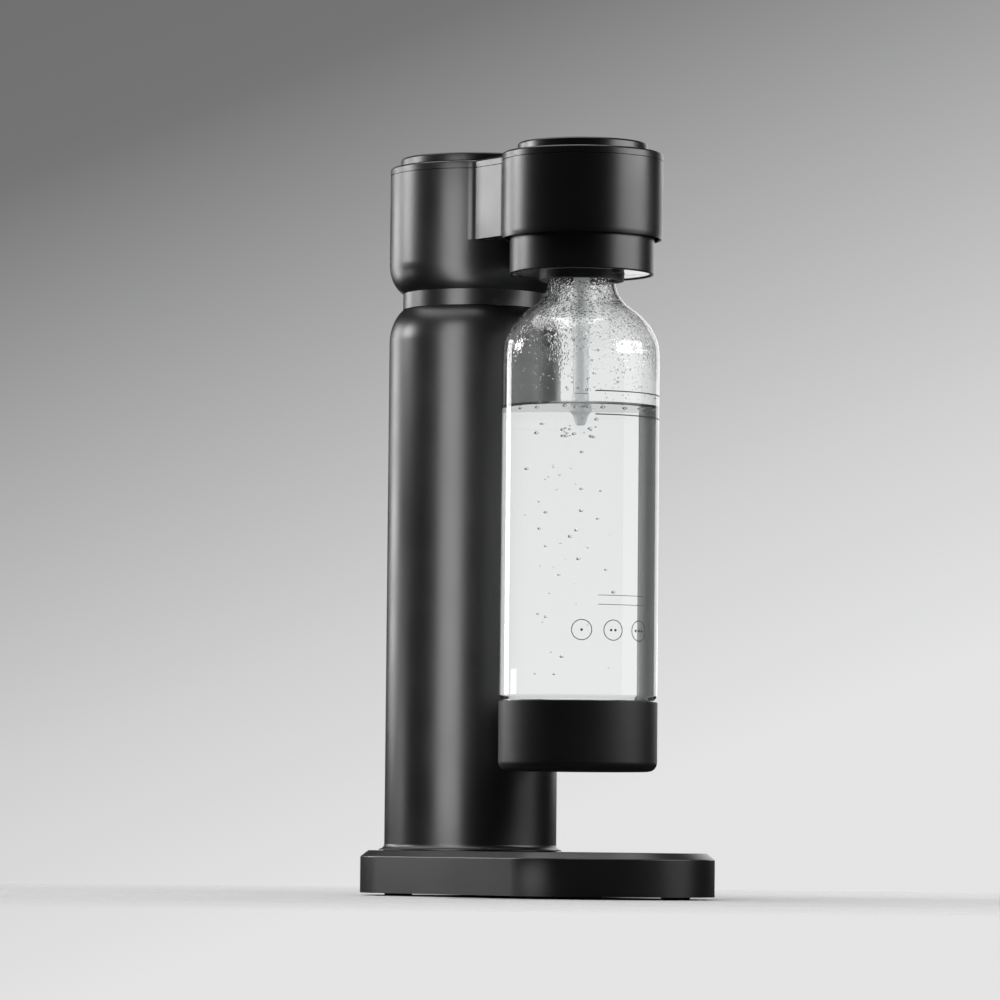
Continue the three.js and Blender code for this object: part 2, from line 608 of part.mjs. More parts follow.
/** The rear round of the head as a full solid: neck, bowl and straight side. `inset` is the wall. */
function rearHead(inset) {
  const neckTop = HEAD_BOTTOM + HEAD_NECK;
  const rim = HEAD_REAR_R - inset;
  const across = acrossFor(HEAD_REAR_R, NECK_R, HEAD_BOWL_LONG, HEAD_BOWL);
  const curve = shoulder(rim, 0, across, HEAD_BOWL_LONG, HEAD_BOWL)
    .map(([r, t]) => [r, neckTop + HEAD_BOWL - t])
    .reverse();
  const bottom = inset ? HEAD_BOTTOM + HEAD_LEDGE : HEAD_BOTTOM;
  const top = inset ? SEAM_Z + 1 : SEAM_Z;
  return turned([[0, bottom], [NECK_R - inset, bottom], ...curve, [rim, top], [0, top]], COLUMN_X);
}

const tiltSides = (make) => [["left", 1], ["right", -1]].map(([side, sy]) => make(side, sy));

/** Round boss on the inside of the front rim that carries one tilt pin. */
function tiltBoss(sy) {
  const inner = EAR_OUTER + CLEAR;
  const outer = RIM_INNER_R + HEAD_FRONT_WALL / 2;
  return turnedAlong(
    [[0, inner], [TILT_BOSS_R, inner], [TILT_BOSS_R, outer], [0, outer]],
    [0, sy, 0],
    [BOTTLE_X, 0, TILT_Z],
    24,
  );
}

const tiltBore = (sy) =>
  turnedAlong(
    [[0, EAR_OUTER], [TILT_PIN_R + CLEAR, EAR_OUTER], [TILT_PIN_R + CLEAR, RIM_INNER_R - CLEAR],
      [0, RIM_INNER_R - CLEAR]],
    [0, sy, 0],
    [BOTTLE_X, 0, TILT_Z],
  );

const COVER_SCREW_SIDE = HEAD_REAR_R - HEAD_WALL - BOSS_R - CLEAR - 3;
const coverScrews = (make) =>
  [["left", 1], ["right", -1]].map(([side, sy]) => make(side, sy * COVER_SCREW_SIDE));

function headCasing() {
  const front = turned(
    [[0, RIM_Z], [HEAD_FRONT_BOTTOM_R, RIM_Z], [HEAD_FRONT_R, SEAM_Z], [0, SEAM_Z]],
    BOTTLE_X,
  );
  const outside = joined(rearHead(0), front, slab(armOutline(), RIM_Z + ARM_RAISE, SEAM_Z, 5));
  const ledge = disc(NECK_R - HEAD_WALL - 2.4, HEAD_BOTTOM - 1, SEAM_Z, COLUMN_X, 0, ROUND);
  const armInside = block(
    [COLUMN_X, -ARM_HALF_WIDTH + HEAD_WALL, RIM_Z + ARM_RAISE + HEAD_WALL],
    [BOTTLE_X, ARM_HALF_WIDTH - HEAD_WALL, SEAM_Z + 1],
  );
  const frontInside = disc(RIM_INNER_R, RIM_Z - 1, SEAM_Z + 1, BOTTLE_X, 0, ROUND);
  const shell = cut(outside, rearHead(HEAD_WALL), ledge, armInside, frontInside);
  const bossBottom = SEAM_Z - COVER_SCREW_LENGTH - 2;
  const coverBosses = coverScrews((side, y) => {
    const reach = Math.sign(y) * (HEAD_REAR_R - 1.5);
    const web = block(
      [COLUMN_X - BOSS_WEB / 2, Math.min(y, reach), bossBottom],
      [COLUMN_X + BOSS_WEB / 2, Math.max(y, reach), SEAM_Z],
    );
    return disc(BOSS_R, bossBottom, SEAM_Z, COLUMN_X, y).add(web);
  });
  const coverBores = coverScrews((side, y) =>
    disc(BASE_SCREW_R + CLEAR, bossBottom - 1, SEAM_Z + 1, COLUMN_X, y),
  );
  const solid = joined(shell, ...coverBosses, ...tiltSides((side, sy) => tiltBoss(sy)));
  return cut(solid, ...coverBores, ...tiltSides((side, sy) => tiltBore(sy)));
}

function headTopCover() {
  const bottom = SEAM_Z + CLEAR;
  const rounded = (r, x) => {
    const edge = roundedEdge(r, COVER_TOP, COVER_EDGE);
    return turned([[0, bottom], [r, bottom], ...edge, [0, COVER_TOP]], x);
  };
  const top = joined(
    rounded(HEAD_REAR_R, COLUMN_X),
    rounded(HEAD_FRONT_R, BOTTLE_X),
    slab(armOutline(), bottom, COVER_TOP, 5),
  );
  const lip = (r, x) =>
    cut(
      disc(r, bottom - COVER_LIP, bottom + 1, x, 0, ROUND),
      disc(r - 1.6, bottom - COVER_LIP - 1, bottom + 2, x, 0, ROUND),
      block([x - 7, -60, bottom - COVER_LIP - 2], [x + 7, 60, bottom]),
      block(
        [COLUMN_X, -ARM_HALF_WIDTH, bottom - COVER_LIP - 2],
        [BOTTLE_X, ARM_HALF_WIDTH, bottom],
      ),
    );
  const lips = [lip(HEAD_REAR_R - HEAD_WALL - CLEAR, COLUMN_X), lip(RIM_INNER_R - CLEAR, BOTTLE_X)];
  const holes = [
    disc(BUTTON_HOLE_R, bottom - 5, COVER_TOP + 1, BOTTLE_X, 0, ROUND),
    disc(CAP_SPIGOT_R + CLEAR, bottom - 5, COVER_TOP + 1, COLUMN_X, 0, 32),
    ...coverScrews((side, y) => disc(BASE_SCREW_R + CLEAR, bottom - 5, COVER_TOP + 1, COLUMN_X, y)),
    ...coverScrews((side, y) =>
      disc(SCREW_HEAD_R + CLEAR, COVER_TOP - SCREW_HEAD_HEIGHT - 2 * CLEAR, COVER_TOP + 1, COLUMN_X, y),
    ),
  ];
  return cut(joined(top, ...lips), ...holes);
}

/** A screw driven down through the cover, its head sunk under the rear cap. */
const coverScrew = (y) => {
  const upright = screw(BASE_SCREW_R, COVER_SCREW_LENGTH, 0).rotate([180, 0, 0]);
  return upright.translate([COLUMN_X, y, COVER_TOP - CLEAR]);
};

function rearCap() {
  const bottom = COVER_TOP + CLEAR;
  return turned(
    [[0, bottom - COVER_HEIGHT - 2], [CAP_SPIGOT_R - 1, bottom - COVER_HEIGHT - 2],
      [CAP_SPIGOT_R, bottom - COVER_HEIGHT - 1], [CAP_SPIGOT_R, bottom], [CAP_R, bottom],
      ...roundedEdge(CAP_R, TOP_Z, CAP_EDGE), [0, TOP_Z]],
    COLUMN_X,
  );
}

/** The push button: a shallow upturned cup. */
function buttonCap() {
  const inner = BUTTON_R - BUTTON_WALL;
  const roof = TOP_Z - BUTTON_WALL;
  return turned(
    [[0, roof], [inner, roof], [inner, TOP_Z - BUTTON_SKIRT], [BUTTON_R, TOP_Z - BUTTON_SKIRT],
      ...roundedEdge(BUTTON_R, TOP_Z, CAP_EDGE), [0, TOP_Z]],
    BOTTLE_X,
  );
}

const STEM_TOP = TOP_Z - BUTTON_WALL - CLEAR;
function buttonStem() {
  const under = STEM_TOP - STEM_FLANGE_HEIGHT;
  return turned(
    [[0, LEVER_TOP + CLEAR], [STEM_R - 1.5, LEVER_TOP + CLEAR], [STEM_R, LEVER_TOP + CLEAR + 1.5],
      [STEM_R, under], [STEM_FLANGE_R, under], [STEM_FLANGE_R, STEM_TOP], [0, STEM_TOP]],
    BOTTLE_X,
    24,
  );
}

/** Fixed guide under the button: a floor with a sleeve for the stem and an upstand for the skirt. */
function buttonGuide() {
  const floor = GUIDE_TOP - GUIDE_FLOOR;
  const sleeve = STEM_R + CLEAR;
  const outer = RIM_INNER_R - CLEAR - 1.6 - CLEAR - 0.4;
  return turned(
    [[sleeve, floor - 1], [sleeve + 2.4, floor - 1], [sleeve + 2.4, floor], [outer, floor],
      [outer, SEAM_Z], [BUTTON_HOLE_R, SEAM_Z], [BUTTON_HOLE_R, GUIDE_TOP],
      [sleeve + 2.4, GUIDE_TOP], [sleeve + 2.4, GUIDE_TOP + 2], [sleeve, GUIDE_TOP + 2]],
    BOTTLE_X,
  );
}

/** Points along a helix with half a closed turn at each end. */
class Helix extends THREE.Curve {
  constructor(r, bottom, top, turns) {
    super();
    Object.assign(this, { r, bottom, top, turns });
  }
  getPoint(t, target = new THREE.Vector3()) {
    const angle = 2 * Math.PI * this.turns * t;
    const eased = THREE.MathUtils.smoothstep(t, 0, 1) * 0.35 + t * 0.65;
    const height = this.bottom + (this.top - this.bottom) * eased;
    return target.set(this.r * Math.cos(angle), this.r * Math.sin(angle), height);
  }
}

/** A round bar along a curve. */
function bar(curve, r, steps, sides) {
  const section = new THREE.Shape();
  for (let i = 0; i < sides; i += 1) {
    const angle = (2 * Math.PI * i) / sides;
    const point = [r * Math.cos(angle), r * Math.sin(angle)];
    if (i) section.lineTo(...point);
    else section.moveTo(...point);
  }
  section.closePath();
  return solidOf(new THREE.ExtrudeGeometry(section, { steps, extrudePath: curve, bevelEnabled: false }));
}

function buttonSpring() {
  const bottom = GUIDE_TOP + CLEAR + SPRING_WIRE_R;
  const top = STEM_TOP - STEM_FLANGE_HEIGHT - CLEAR - SPRING_WIRE_R;
  const helix = new Helix(SPRING_R, bottom, top, SPRING_TURNS);
  return bar(helix, SPRING_WIRE_R, SPRING_TURNS * 12, 5).translate([BOTTLE_X, 0, 0]);
}

function lever() {
  const nose = BOTTLE_X + LEVER_NOSE;
  const outline = new THREE.Shape();
  outline.moveTo(PIVOT_X, -LEVER_HALF_WIDTH);
  outline.lineTo(nose - LEVER_HALF_WIDTH, -LEVER_HALF_WIDTH);
  outline.absarc(nose - LEVER_HALF_WIDTH, 0, LEVER_HALF_WIDTH, -Math.PI / 2, Math.PI / 2, false);
  outline.lineTo(PIVOT_X, LEVER_HALF_WIDTH);
  outline.closePath();
  const arm = slab(outline, LEVER_BOTTOM, LEVER_TOP, 8);
  const slot = block(
    [COLUMN_X + 24, -LEVER_HALF_WIDTH / 2, LEVER_BOTTOM - 1],
    [BOTTLE_X - 24, LEVER_HALF_WIDTH / 2, LEVER_TOP + 1],
  );
  const barrel = crossBar(LEVER_BARREL_R, LEVER_HALF_WIDTH, 20);
  return cut(joined(arm, barrel), slot, crossBar(LEVER_PIN_R + CLEAR, LEVER_HALF_WIDTH + 1));
}

/** A round bar across the machine on the lever's pivot. */
const crossBar = (r, half, segments = SMALL_ROUND) =>
  turnedAlong([[0, -half], [r, -half], [r, half], [0, half]], [0, 1, 0], [PIVOT_X, 0, PIVOT_Z], segments);

/** Bent plate on top of the valve block: two cheeks at its rear end carry the lever's pin. */
function leverBracket() {
  const inner = LEVER_HALF_WIDTH + CLEAR;
  const floor = BLOCK_TOP + CLEAR;
  const plate = block(
    [PIVOT_X - 5, -inner - CHEEK, floor],
    [COLUMN_X + BLOCK_R - 3, inner + CHEEK, floor + CHEEK],
  );
  const cheek = (sy) => {
    const [near, far] = [sy * inner, sy * (inner + CHEEK)];
    return block(
      [PIVOT_X - 5, Math.min(near, far), floor],
      [PIVOT_X + 7, Math.max(near, far), PIVOT_Z + LEVER_BARREL_R],
    );
  };
  const window = disc(VALVE_PIN_HEAD_R + 1, floor - 1, floor + CHEEK + 1, COLUMN_X);
  const bore = crossBar(LEVER_PIN_R + CLEAR / 2, inner + CHEEK + 1);
  return cut(joined(plate, cheek(1), cheek(-1)), window, bore);
}

const leverPin = () => crossBar(LEVER_PIN_R, LEVER_HALF_WIDTH + CHEEK + 1.5);

function valveBlock() {
  const bottom = CHASSIS_TOP + CLEAR;
  const body = turned(
    [[0, bottom], [BLOCK_FLANGE_R - 1, bottom], [BLOCK_FLANGE_R, bottom + 1],
      [BLOCK_FLANGE_R, bottom + BLOCK_FLANGE_HEIGHT], [BLOCK_R, bottom + BLOCK_FLANGE_HEIGHT],
      [BLOCK_R, BLOCK_TOP - 1], [BLOCK_R - 1, BLOCK_TOP], [0, BLOCK_TOP]],
    COLUMN_X,
    28,
  );
  const socket = disc(VALVE_R + 0.5, bottom - 1, VALVE_TOP + SEAL_HEIGHT + 2 * CLEAR, COLUMN_X, 0, 24);
  const pinBore = disc(VALVE_PIN_R + CLEAR, VALVE_TOP, BLOCK_TOP + 1, COLUMN_X);
  const gasWay = sidePort([1, 0, 0], [[0, 0], [1.2, 0], [1.2, BLOCK_R + 1], [0, BLOCK_R + 1]]);
  const nuts = rods((side, y) => disc(NUT_R + 0.6, bottom - 1, bottom + 6, COLUMN_X, y));
  return cut(body, socket, pinBore, gasWay, ...nuts);
}

/** A turned piece that stands out sideways from the valve block at the height of its ports. */
const sidePort = (direction, profile) => turnedAlong(profile, direction, [COLUMN_X, 0, PORT_Z]);

const hoseFitting = () => {
  const start = BLOCK_R + CLEAR;
  const end = start + FITTING_LENGTH;
  return sidePort(
    [1, 0, 0],
    [[1, start], [FITTING_R + 1, start], [FITTING_R + 1, start + 4], [FITTING_R - 0.5, start + 4.5],
      [FITTING_R - 0.5, end], [1, end]],
  );
};

const reliefValve = () => {
  const start = BLOCK_R + CLEAR;
  const end = start + RELIEF_LENGTH;
  return sidePort(
    [0, -1, 0],
    [[0, start], [RELIEF_R, start], [RELIEF_R, start + 5], [RELIEF_R - 1.5, start + 5.5],
      [RELIEF_R - 1.5, end - 1], [RELIEF_R - 2.5, end], [0, end]],
  );
};

const valveSeal = () => {
  const bottom = VALVE_TOP + CLEAR;
  return turned(
    [[VALVE_PIN_R + 2, bottom], [VALVE_R - 1, bottom], [VALVE_R - 1, bottom + SEAL_HEIGHT],
      [VALVE_PIN_R + 2, bottom + SEAL_HEIGHT]],
    COLUMN_X,
    24,
  );
};

const valvePin = () => {
  const bottom = VALVE_TOP + 1.7;
  const top = LEVER_BOTTOM - CLEAR;
  return turned(
    [[0, bottom], [VALVE_PIN_R - 0.6, bottom], [VALVE_PIN_R, bottom + 0.8],
      [VALVE_PIN_R, top - VALVE_PIN_HEAD], [VALVE_PIN_HEAD_R, top - VALVE_PIN_HEAD],
      [VALVE_PIN_HEAD_R, top - 0.6], [VALVE_PIN_HEAD_R - 0.8, top], [0, top]],
    COLUMN_X,
    16,
  );
};

/** Gas hose: from the fitting, over the floor of the arm, round to the tilt axis of the holder. */
function gasHose() {
  const start = COLUMN_X + BLOCK_R + 2 * CLEAR + FITTING_LENGTH;
  const floor = RIM_Z + ARM_RAISE + HEAD_WALL;
  const doorway = COLUMN_X + HEAD_REAR_R - HEAD_WALL;
  const side = HOSE_END + 10;
  const route = [
    [start, 0, PORT_Z],
    [start + 4, 0, PORT_Z],
    [doorway - 3, 5, floor + HOSE_R + 2],
    [(doorway + BOTTLE_X) / 2, 17, floor + HOSE_R + 2.5],
    [BOTTLE_X - 20, side - 1, TILT_Z + 6],
    [BOTTLE_X - 7, side + 2, TILT_Z + 1.6],
    [BOTTLE_X - 1, side - 1.5, TILT_Z + 0.1],
    [BOTTLE_X, side - 5, TILT_Z],
    [BOTTLE_X, HOSE_END, TILT_Z],
  ];
  const curve = new THREE.CatmullRomCurve3(route.map((point) => new THREE.Vector3(...point)));
  return bar(curve, HOSE_R, 26, 8);
}

function head() {
  return groupOf(
    piece("head_casing", headCasing(), SATIN_BLACK),
    piece("head_top_cover", headTopCover(), SATIN_BLACK),
    ...coverScrews((side, y) => piece(`cover_screw_${side}`, coverScrew(y), STEEL)),
    piece("rear_cap", rearCap(), SATIN_BLACK),
    piece("button_cap", buttonCap(), SATIN_BLACK),
    piece("button_stem", buttonStem(), DARK_PLASTIC),
    piece("button_spring", buttonSpring(), STEEL),
    piece("button_guide", buttonGuide(), DARK_PLASTIC),
    piece("lever", lever(), STEEL),
    piece("lever_pin", leverPin(), STEEL),
    piece("lever_bracket", leverBracket(), STEEL),
    piece("valve_block", valveBlock(), ZINC),
    piece("valve_pin", valvePin(), BRASS),
    piece("valve_seal", valveSeal(), RUBBER),
    piece("relief_valve", reliefValve(), BRASS),
    piece("hose_fitting", hoseFitting(), BRASS),
    piece("gas_hose", gasHose(), RUBBER),
  );
}

// ---- Bottle holder and nozzle -------------------------------------------------------------------
function holderRing() {
  const inner = HOLDER_R - HOLDER_WALL;
  const ring = turned(
    [[inner, HOLDER_BOTTOM], [HOLDER_R - 0.6, HOLDER_BOTTOM], [HOLDER_R, HOLDER_BOTTOM + 0.6],
      [HOLDER_R, RIM_Z + HOLDER_LIP], [inner, RIM_Z + HOLDER_LIP], [inner, WEB_TOP],
      [WEB_HOLE_R, WEB_TOP], [WEB_HOLE_R, WEB_BOTTOM], [inner, WEB_BOTTOM]],
    BOTTLE_X,
  );
  const ears = tiltSides((side, sy) => {
    const [near, far] = [sy * (EAR_OUTER - EAR_THICKNESS), sy * EAR_OUTER];
    return block(
      [BOTTLE_X - EAR_HALF_WIDTH, Math.min(near, far), WEB_BOTTOM],
      [BOTTLE_X + EAR_HALF_WIDTH, Math.max(near, far), TILT_Z + EAR_RISE],
    );
  });
  const notches = tiltSides((side, sy) => {
    const [near, far] = [sy * (EAR_OUTER + 0.01), sy * (HOLDER_R + 1)];
    return block(
      [BOTTLE_X - EAR_HALF_WIDTH - 2, Math.min(near, far), WEB_TOP],
      [BOTTLE_X + EAR_HALF_WIDTH + 2, Math.max(near, far), TILT_Z + EAR_RISE],
    );
  });
  const bores = tiltSides((side, sy) =>
    turnedAlong(
      [[0, EAR_OUTER - EAR_THICKNESS - 1], [TILT_PIN_R + CLEAR / 2, EAR_OUTER - EAR_THICKNESS - 1],
        [TILT_PIN_R + CLEAR / 2, EAR_OUTER + 1], [0, EAR_OUTER + 1]],
      [0, sy, 0],
      [BOTTLE_X, 0, TILT_Z],
    ),
  );
  const screws = plateScrews((side, x) => disc(BASE_SCREW_R + 2, HOLDER_BOTTOM + 3, WEB_TOP - 1, x));
  const holes = plateScrews((side, x) => disc(BASE_SCREW_R + CLEAR, HOLDER_BOTTOM, WEB_BOTTOM, x));
  return cut(joined(ring, ...ears, ...screws), ...notches, ...bores, ...holes);
}

const plateScrews = (make) =>
  [["front", 1], ["rear", -1]].map(([side, sx]) => make(side, BOTTLE_X + sx * PLATE_SCREW_OUT));

function holderPlate() {
  const bottom = HOLDER_BOTTOM + PLATE_SUNK;
  const top = bottom + PLATE_THICKNESS;
  const plate = turned(
    [[COLLAR_R + CLEAR, bottom], [HOLDER_R - HOLDER_WALL - CLEAR, bottom],
      [HOLDER_R - HOLDER_WALL - CLEAR, top], [COLLAR_R + CLEAR, top]],
    BOTTLE_X,
  );
  return cut(plate, ...plateScrews((side, x) => disc(BASE_SCREW_R + CLEAR, bottom - 1, top + 1, x)));
}

const plateScrew = (x) =>
  screw(BASE_SCREW_R, 9, HOLDER_BOTTOM + PLATE_SUNK - CLEAR - SCREW_HEAD_HEIGHT).translate([x, 0, 0]);

/** Threaded collar that takes the neck of the bottle. */
function neckCollar() {
  const bottom = HOLDER_BOTTOM - COLLAR_PROUD;
  const inner = THREAD_R + 2 * CLEAR;
  return turned(
    [[inner, bottom + 1], [inner + 1, bottom], [COLLAR_R - 1, bottom], [COLLAR_R, bottom + 1],
      [COLLAR_R, WEB_BOTTOM - CLEAR], [inner, WEB_BOTTOM - CLEAR]],
    BOTTLE_X,
    28,
  );
}

const bottleSeal = () => {
  const [bottom, top] = [MOUTH_Z + CLEAR, WEB_BOTTOM - CLEAR];
  return turned(
    [[NOZZLE_R + 2 * CLEAR, bottom], [THREAD_R, bottom], [THREAD_R, top], [NOZZLE_R + 2 * CLEAR, top]],
    BOTTLE_X,
    24,
  );
};

/** Nozzle block: a spigot in the web's hole, a round body, and the gas inlet on the tilt axis. */
function nozzleBlock() {
  const bore = NOZZLE_R + CLEAR;
  const spigot = WEB_HOLE_R - CLEAR;
  const body = turned(
    [[bore, WEB_BOTTOM + CLEAR], [spigot, WEB_BOTTOM + CLEAR], [spigot, WEB_TOP + CLEAR],
      [spigot + 2.6, WEB_TOP + CLEAR], [spigot + 2.6, WEB_TOP + 2.4], [9, WEB_TOP + 2.4],
      [9, TILT_Z + 8], [7, TILT_Z + 10], [0, TILT_Z + 10], [0, TILT_Z + 6], [bore, TILT_Z + 6]],
    BOTTLE_X,
    24,
  );
  const inletR = TILT_RAISE + HOLDER_WEB_DROP - 2 * CLEAR;
  const inletEnd = HOSE_END - CLEAR;
  const inlet = turnedAlong(
    [[0, NOZZLE_R + 1], [inletR, NOZZLE_R + 1], [inletR, inletEnd], [0, inletEnd]],
    [0, 1, 0],
    [BOTTLE_X, 0, TILT_Z],
  );
  const way = turnedAlong(
    [[0, 0], [1.2, 0], [1.2, inletEnd + 1], [0, inletEnd + 1]],
    [0, 1, 0],
    [BOTTLE_X, 0, TILT_Z],
  );
  return cut(joined(body, inlet), way);
}

const NOZZLE_FOOT = WEB_BOTTOM - NOZZLE_LENGTH;
function nozzleTube() {
  const top = TILT_Z - 3;
  return turned(
    [[NOZZLE_BORE_R, NOZZLE_FOOT], [NOZZLE_R - 0.3, NOZZLE_FOOT], [NOZZLE_R, MOUTH_Z - 8],
      [NOZZLE_R, top], [NOZZLE_BORE_R, top]],
    BOTTLE_X,
    20,
  );
}

/** The jet at the end of the tube. */
function nozzleTip() {
  const top = NOZZLE_FOOT - CLEAR;
  const bottom = top - NOZZLE_TIP;
  return turned(
    [[0.7, bottom], [1.8, bottom], [3.4, bottom + 6], [NOZZLE_R, bottom + 7.5], [NOZZLE_R, top],
      [NOZZLE_BORE_R, top], [NOZZLE_BORE_R, bottom + 8], [0.7, bottom + 5]],
    BOTTLE_X,
    16,
  );
}

const tiltPin = (sy) =>
  turnedAlong(
    [[0, EAR_OUTER - EAR_THICKNESS - 0.8], [TILT_PIN_R - 0.4, EAR_OUTER - EAR_THICKNESS - 0.8],
      [TILT_PIN_R, EAR_OUTER - EAR_THICKNESS - 0.4], [TILT_PIN_R, RIM_INNER_R - 3 * CLEAR],
      [0, RIM_INNER_R - 3 * CLEAR]],
    [0, sy, 0],
    [BOTTLE_X, 0, TILT_Z],
  );

function bottleHolder() {
  return groupOf(
    piece("holder_ring", holderRing(), SATIN_BLACK),
    piece("holder_plate", holderPlate(), STEEL),
    ...plateScrews((side, x) => piece(`plate_screw_${side}`, plateScrew(x), STEEL)),
    piece("neck_collar", neckCollar(), DARK_PLASTIC),
    piece("bottle_seal", bottleSeal(), RUBBER),
    piece("nozzle_block", nozzleBlock(), ZINC),
    piece("nozzle_tube", nozzleTube(), PALE_PLASTIC),
    piece("nozzle_tip", nozzleTip(), PALE_PLASTIC),
    ...tiltSides((side, sy) => piece(`tilt_pin_${side}`, tiltPin(sy), STEEL)),
  );
}

// ---- Bottle -------------------------------------------------------------------------------------
const CUP_TOP = CUP_BOTTOM + CUP_HEIGHT;
const BOTTLE_FOOT = CUP_BOTTOM + CUP_WALL + CLEAR;

/** The bottle's shoulder from its straight side up to its neck, moved inwards by `inset`. */
function bottleShoulder(inset) {
  const [side, neck] = [BOTTLE_R - inset, BOTTLE_NECK_R - Math.max(inset, 0)];
  const [low, high] = [MOUTH_Z - BOTTLE_SHOULDER, MOUTH_Z - BOTTLE_NECK];
  const along = (t) => low + (high - low) * t;
  const across = (t) => side + (neck - side) * t;
  const curve = new THREE.SplineCurve(
    [[0, 0], [0.2, 0.035], [0.4, 0.2], [0.555, 0.452], [0.69, 0.765], [0.84, 0.95], [1, 1]].map(
      ([rise, inward]) => new THREE.Vector2(across(inward), along(rise)),
    ),
  );
  return curve.getPoints(7).map(({ x, y }) => [x, y]);
}

/** Blown bottle: thin wall, threaded neck, waist that drops into its cup. */
function bottle() {
  const waist = CUP_R - CUP_WALL - CLEAR;
  const wall = BOTTLE_WALL;
  const outside = [
    [0, BOTTLE_FOOT + 5], [16, BOTTLE_FOOT + 4], [26, BOTTLE_FOOT], [waist - 6, BOTTLE_FOOT],
    [waist - 1.5, BOTTLE_FOOT + 3], [waist, BOTTLE_FOOT + 8], [waist, CUP_TOP + CLEAR],
    [BOTTLE_R, CUP_TOP + 2], ...bottleShoulder(0),
    [BOTTLE_NECK_R, MOUTH_Z - 12], [THREAD_R, MOUTH_Z - 11.4], [THREAD_R, MOUTH_Z - 9.6],
    [BOTTLE_NECK_R, MOUTH_Z - 9], [BOTTLE_NECK_R, MOUTH_Z],
  ];
  const inside = [
    [BOTTLE_NECK_R - BOTTLE_NECK_WALL, MOUTH_Z],
    [BOTTLE_NECK_R - BOTTLE_NECK_WALL, MOUTH_Z - BOTTLE_NECK + 2],
    ...bottleShoulder(wall).reverse(),
    [BOTTLE_R - wall, CUP_TOP + 2.5], [waist - wall, CUP_TOP + 1],
    [waist - wall, BOTTLE_FOOT + 8.5], [waist - 6, BOTTLE_FOOT + wall + 1],
    [26, BOTTLE_FOOT + wall + 0.5], [16, BOTTLE_FOOT + 4 + wall], [0, BOTTLE_FOOT + 5 + wall],
  ];
  return turned([...outside, ...inside], BOTTLE_X, 24);
}

function bottleCup() {
  const inner = CUP_R - CUP_WALL;
  const corner = roundedEdge(CUP_R, 0, CUP_CORNER, 3).map(([r, z]) => [r, CUP_BOTTOM - z]).reverse();
  return turned(
    [[0, CUP_BOTTOM], ...corner, [CUP_R, CUP_TOP], [inner, CUP_TOP], [inner, CUP_BOTTOM + 5],
      [inner - 3, CUP_BOTTOM + CUP_WALL], [0, CUP_BOTTOM + CUP_WALL]],
    BOTTLE_X,
  );
}

const bottleGroup = () =>
  groupOf(piece("bottle", bottle(), CLEAR_PLASTIC), piece("bottle_cup", bottleCup(), SATIN_BLACK));

const machine = groupOf(base(), column(), head(), bottleHolder(), bottleGroup());
machine.name = "soda_carbonator";
export default machine;
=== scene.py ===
"""A free-standing drink carbonator: finished pieces and studio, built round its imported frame.

Sizes in the classes below are millimetres. Places come from the frame, so a piece follows its CAD node.
"""

import json
import logging
import math
import random
from dataclasses import dataclass
from enum import Enum
from typing import Callable, Iterable, Optional, Sequence

import bmesh
import bpy
from bmesh.types import BMEdge, BMFace, BMVert
from mathutils import Matrix, Vector
from mathutils.bvhtree import BVHTree


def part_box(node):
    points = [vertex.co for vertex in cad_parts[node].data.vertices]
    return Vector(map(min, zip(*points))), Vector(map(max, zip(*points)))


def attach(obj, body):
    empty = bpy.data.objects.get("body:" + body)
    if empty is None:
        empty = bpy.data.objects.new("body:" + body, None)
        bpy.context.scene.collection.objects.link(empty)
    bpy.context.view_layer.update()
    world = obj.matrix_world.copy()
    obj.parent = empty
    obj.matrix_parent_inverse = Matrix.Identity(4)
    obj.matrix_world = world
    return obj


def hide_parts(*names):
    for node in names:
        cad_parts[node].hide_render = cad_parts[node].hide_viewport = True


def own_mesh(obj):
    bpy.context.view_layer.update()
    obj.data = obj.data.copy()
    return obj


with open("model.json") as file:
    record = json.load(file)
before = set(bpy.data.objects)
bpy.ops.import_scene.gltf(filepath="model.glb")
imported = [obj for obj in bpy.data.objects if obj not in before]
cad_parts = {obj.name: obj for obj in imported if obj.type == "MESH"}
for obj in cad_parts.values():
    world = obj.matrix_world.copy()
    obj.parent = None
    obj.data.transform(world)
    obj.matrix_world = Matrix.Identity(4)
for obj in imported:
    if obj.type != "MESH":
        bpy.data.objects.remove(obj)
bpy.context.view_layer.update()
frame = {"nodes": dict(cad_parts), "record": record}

MM = 0.001
MERGE = 2e-6
UP = Vector((0, 0, 1))
log = logging.getLogger("carbonator")

Corner = Sequence[float]
Socket = bpy.types.NodeSocket


# ---- Places ---------------------------------------------------------------------------------------
def low(node: str) -> Vector:
    """The lowest corner of a CAD node, in millimetres."""
    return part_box(node)[0] / MM


def high(node: str) -> Vector:
    """The highest corner of a CAD node, in millimetres."""
    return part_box(node)[1] / MM


def middle(node: str) -> Vector:
    """The middle of a CAD node's box, in millimetres."""
    return (low(node) + high(node)) / 2


def radius(node: str) -> float:
    """Half the width of a round CAD node across the machine, in millimetres."""
    return (high(node).y - low(node).y) / 2


class Slot(Enum):
    """The record's material slots."""

    BODY = "body_black"
    CUP = "cup_black"
    INNER = "inner_plastic"
    STEEL = "steel"
    PLATED = "plated_steel"
    BRASS = "brass"
    ZINC = "cast_zinc"
    RUBBER = "rubber"
    CYLINDER = "cylinder_paint"
    CLEAR = "bottle_clear"
    NOZZLE = "nozzle_pale"


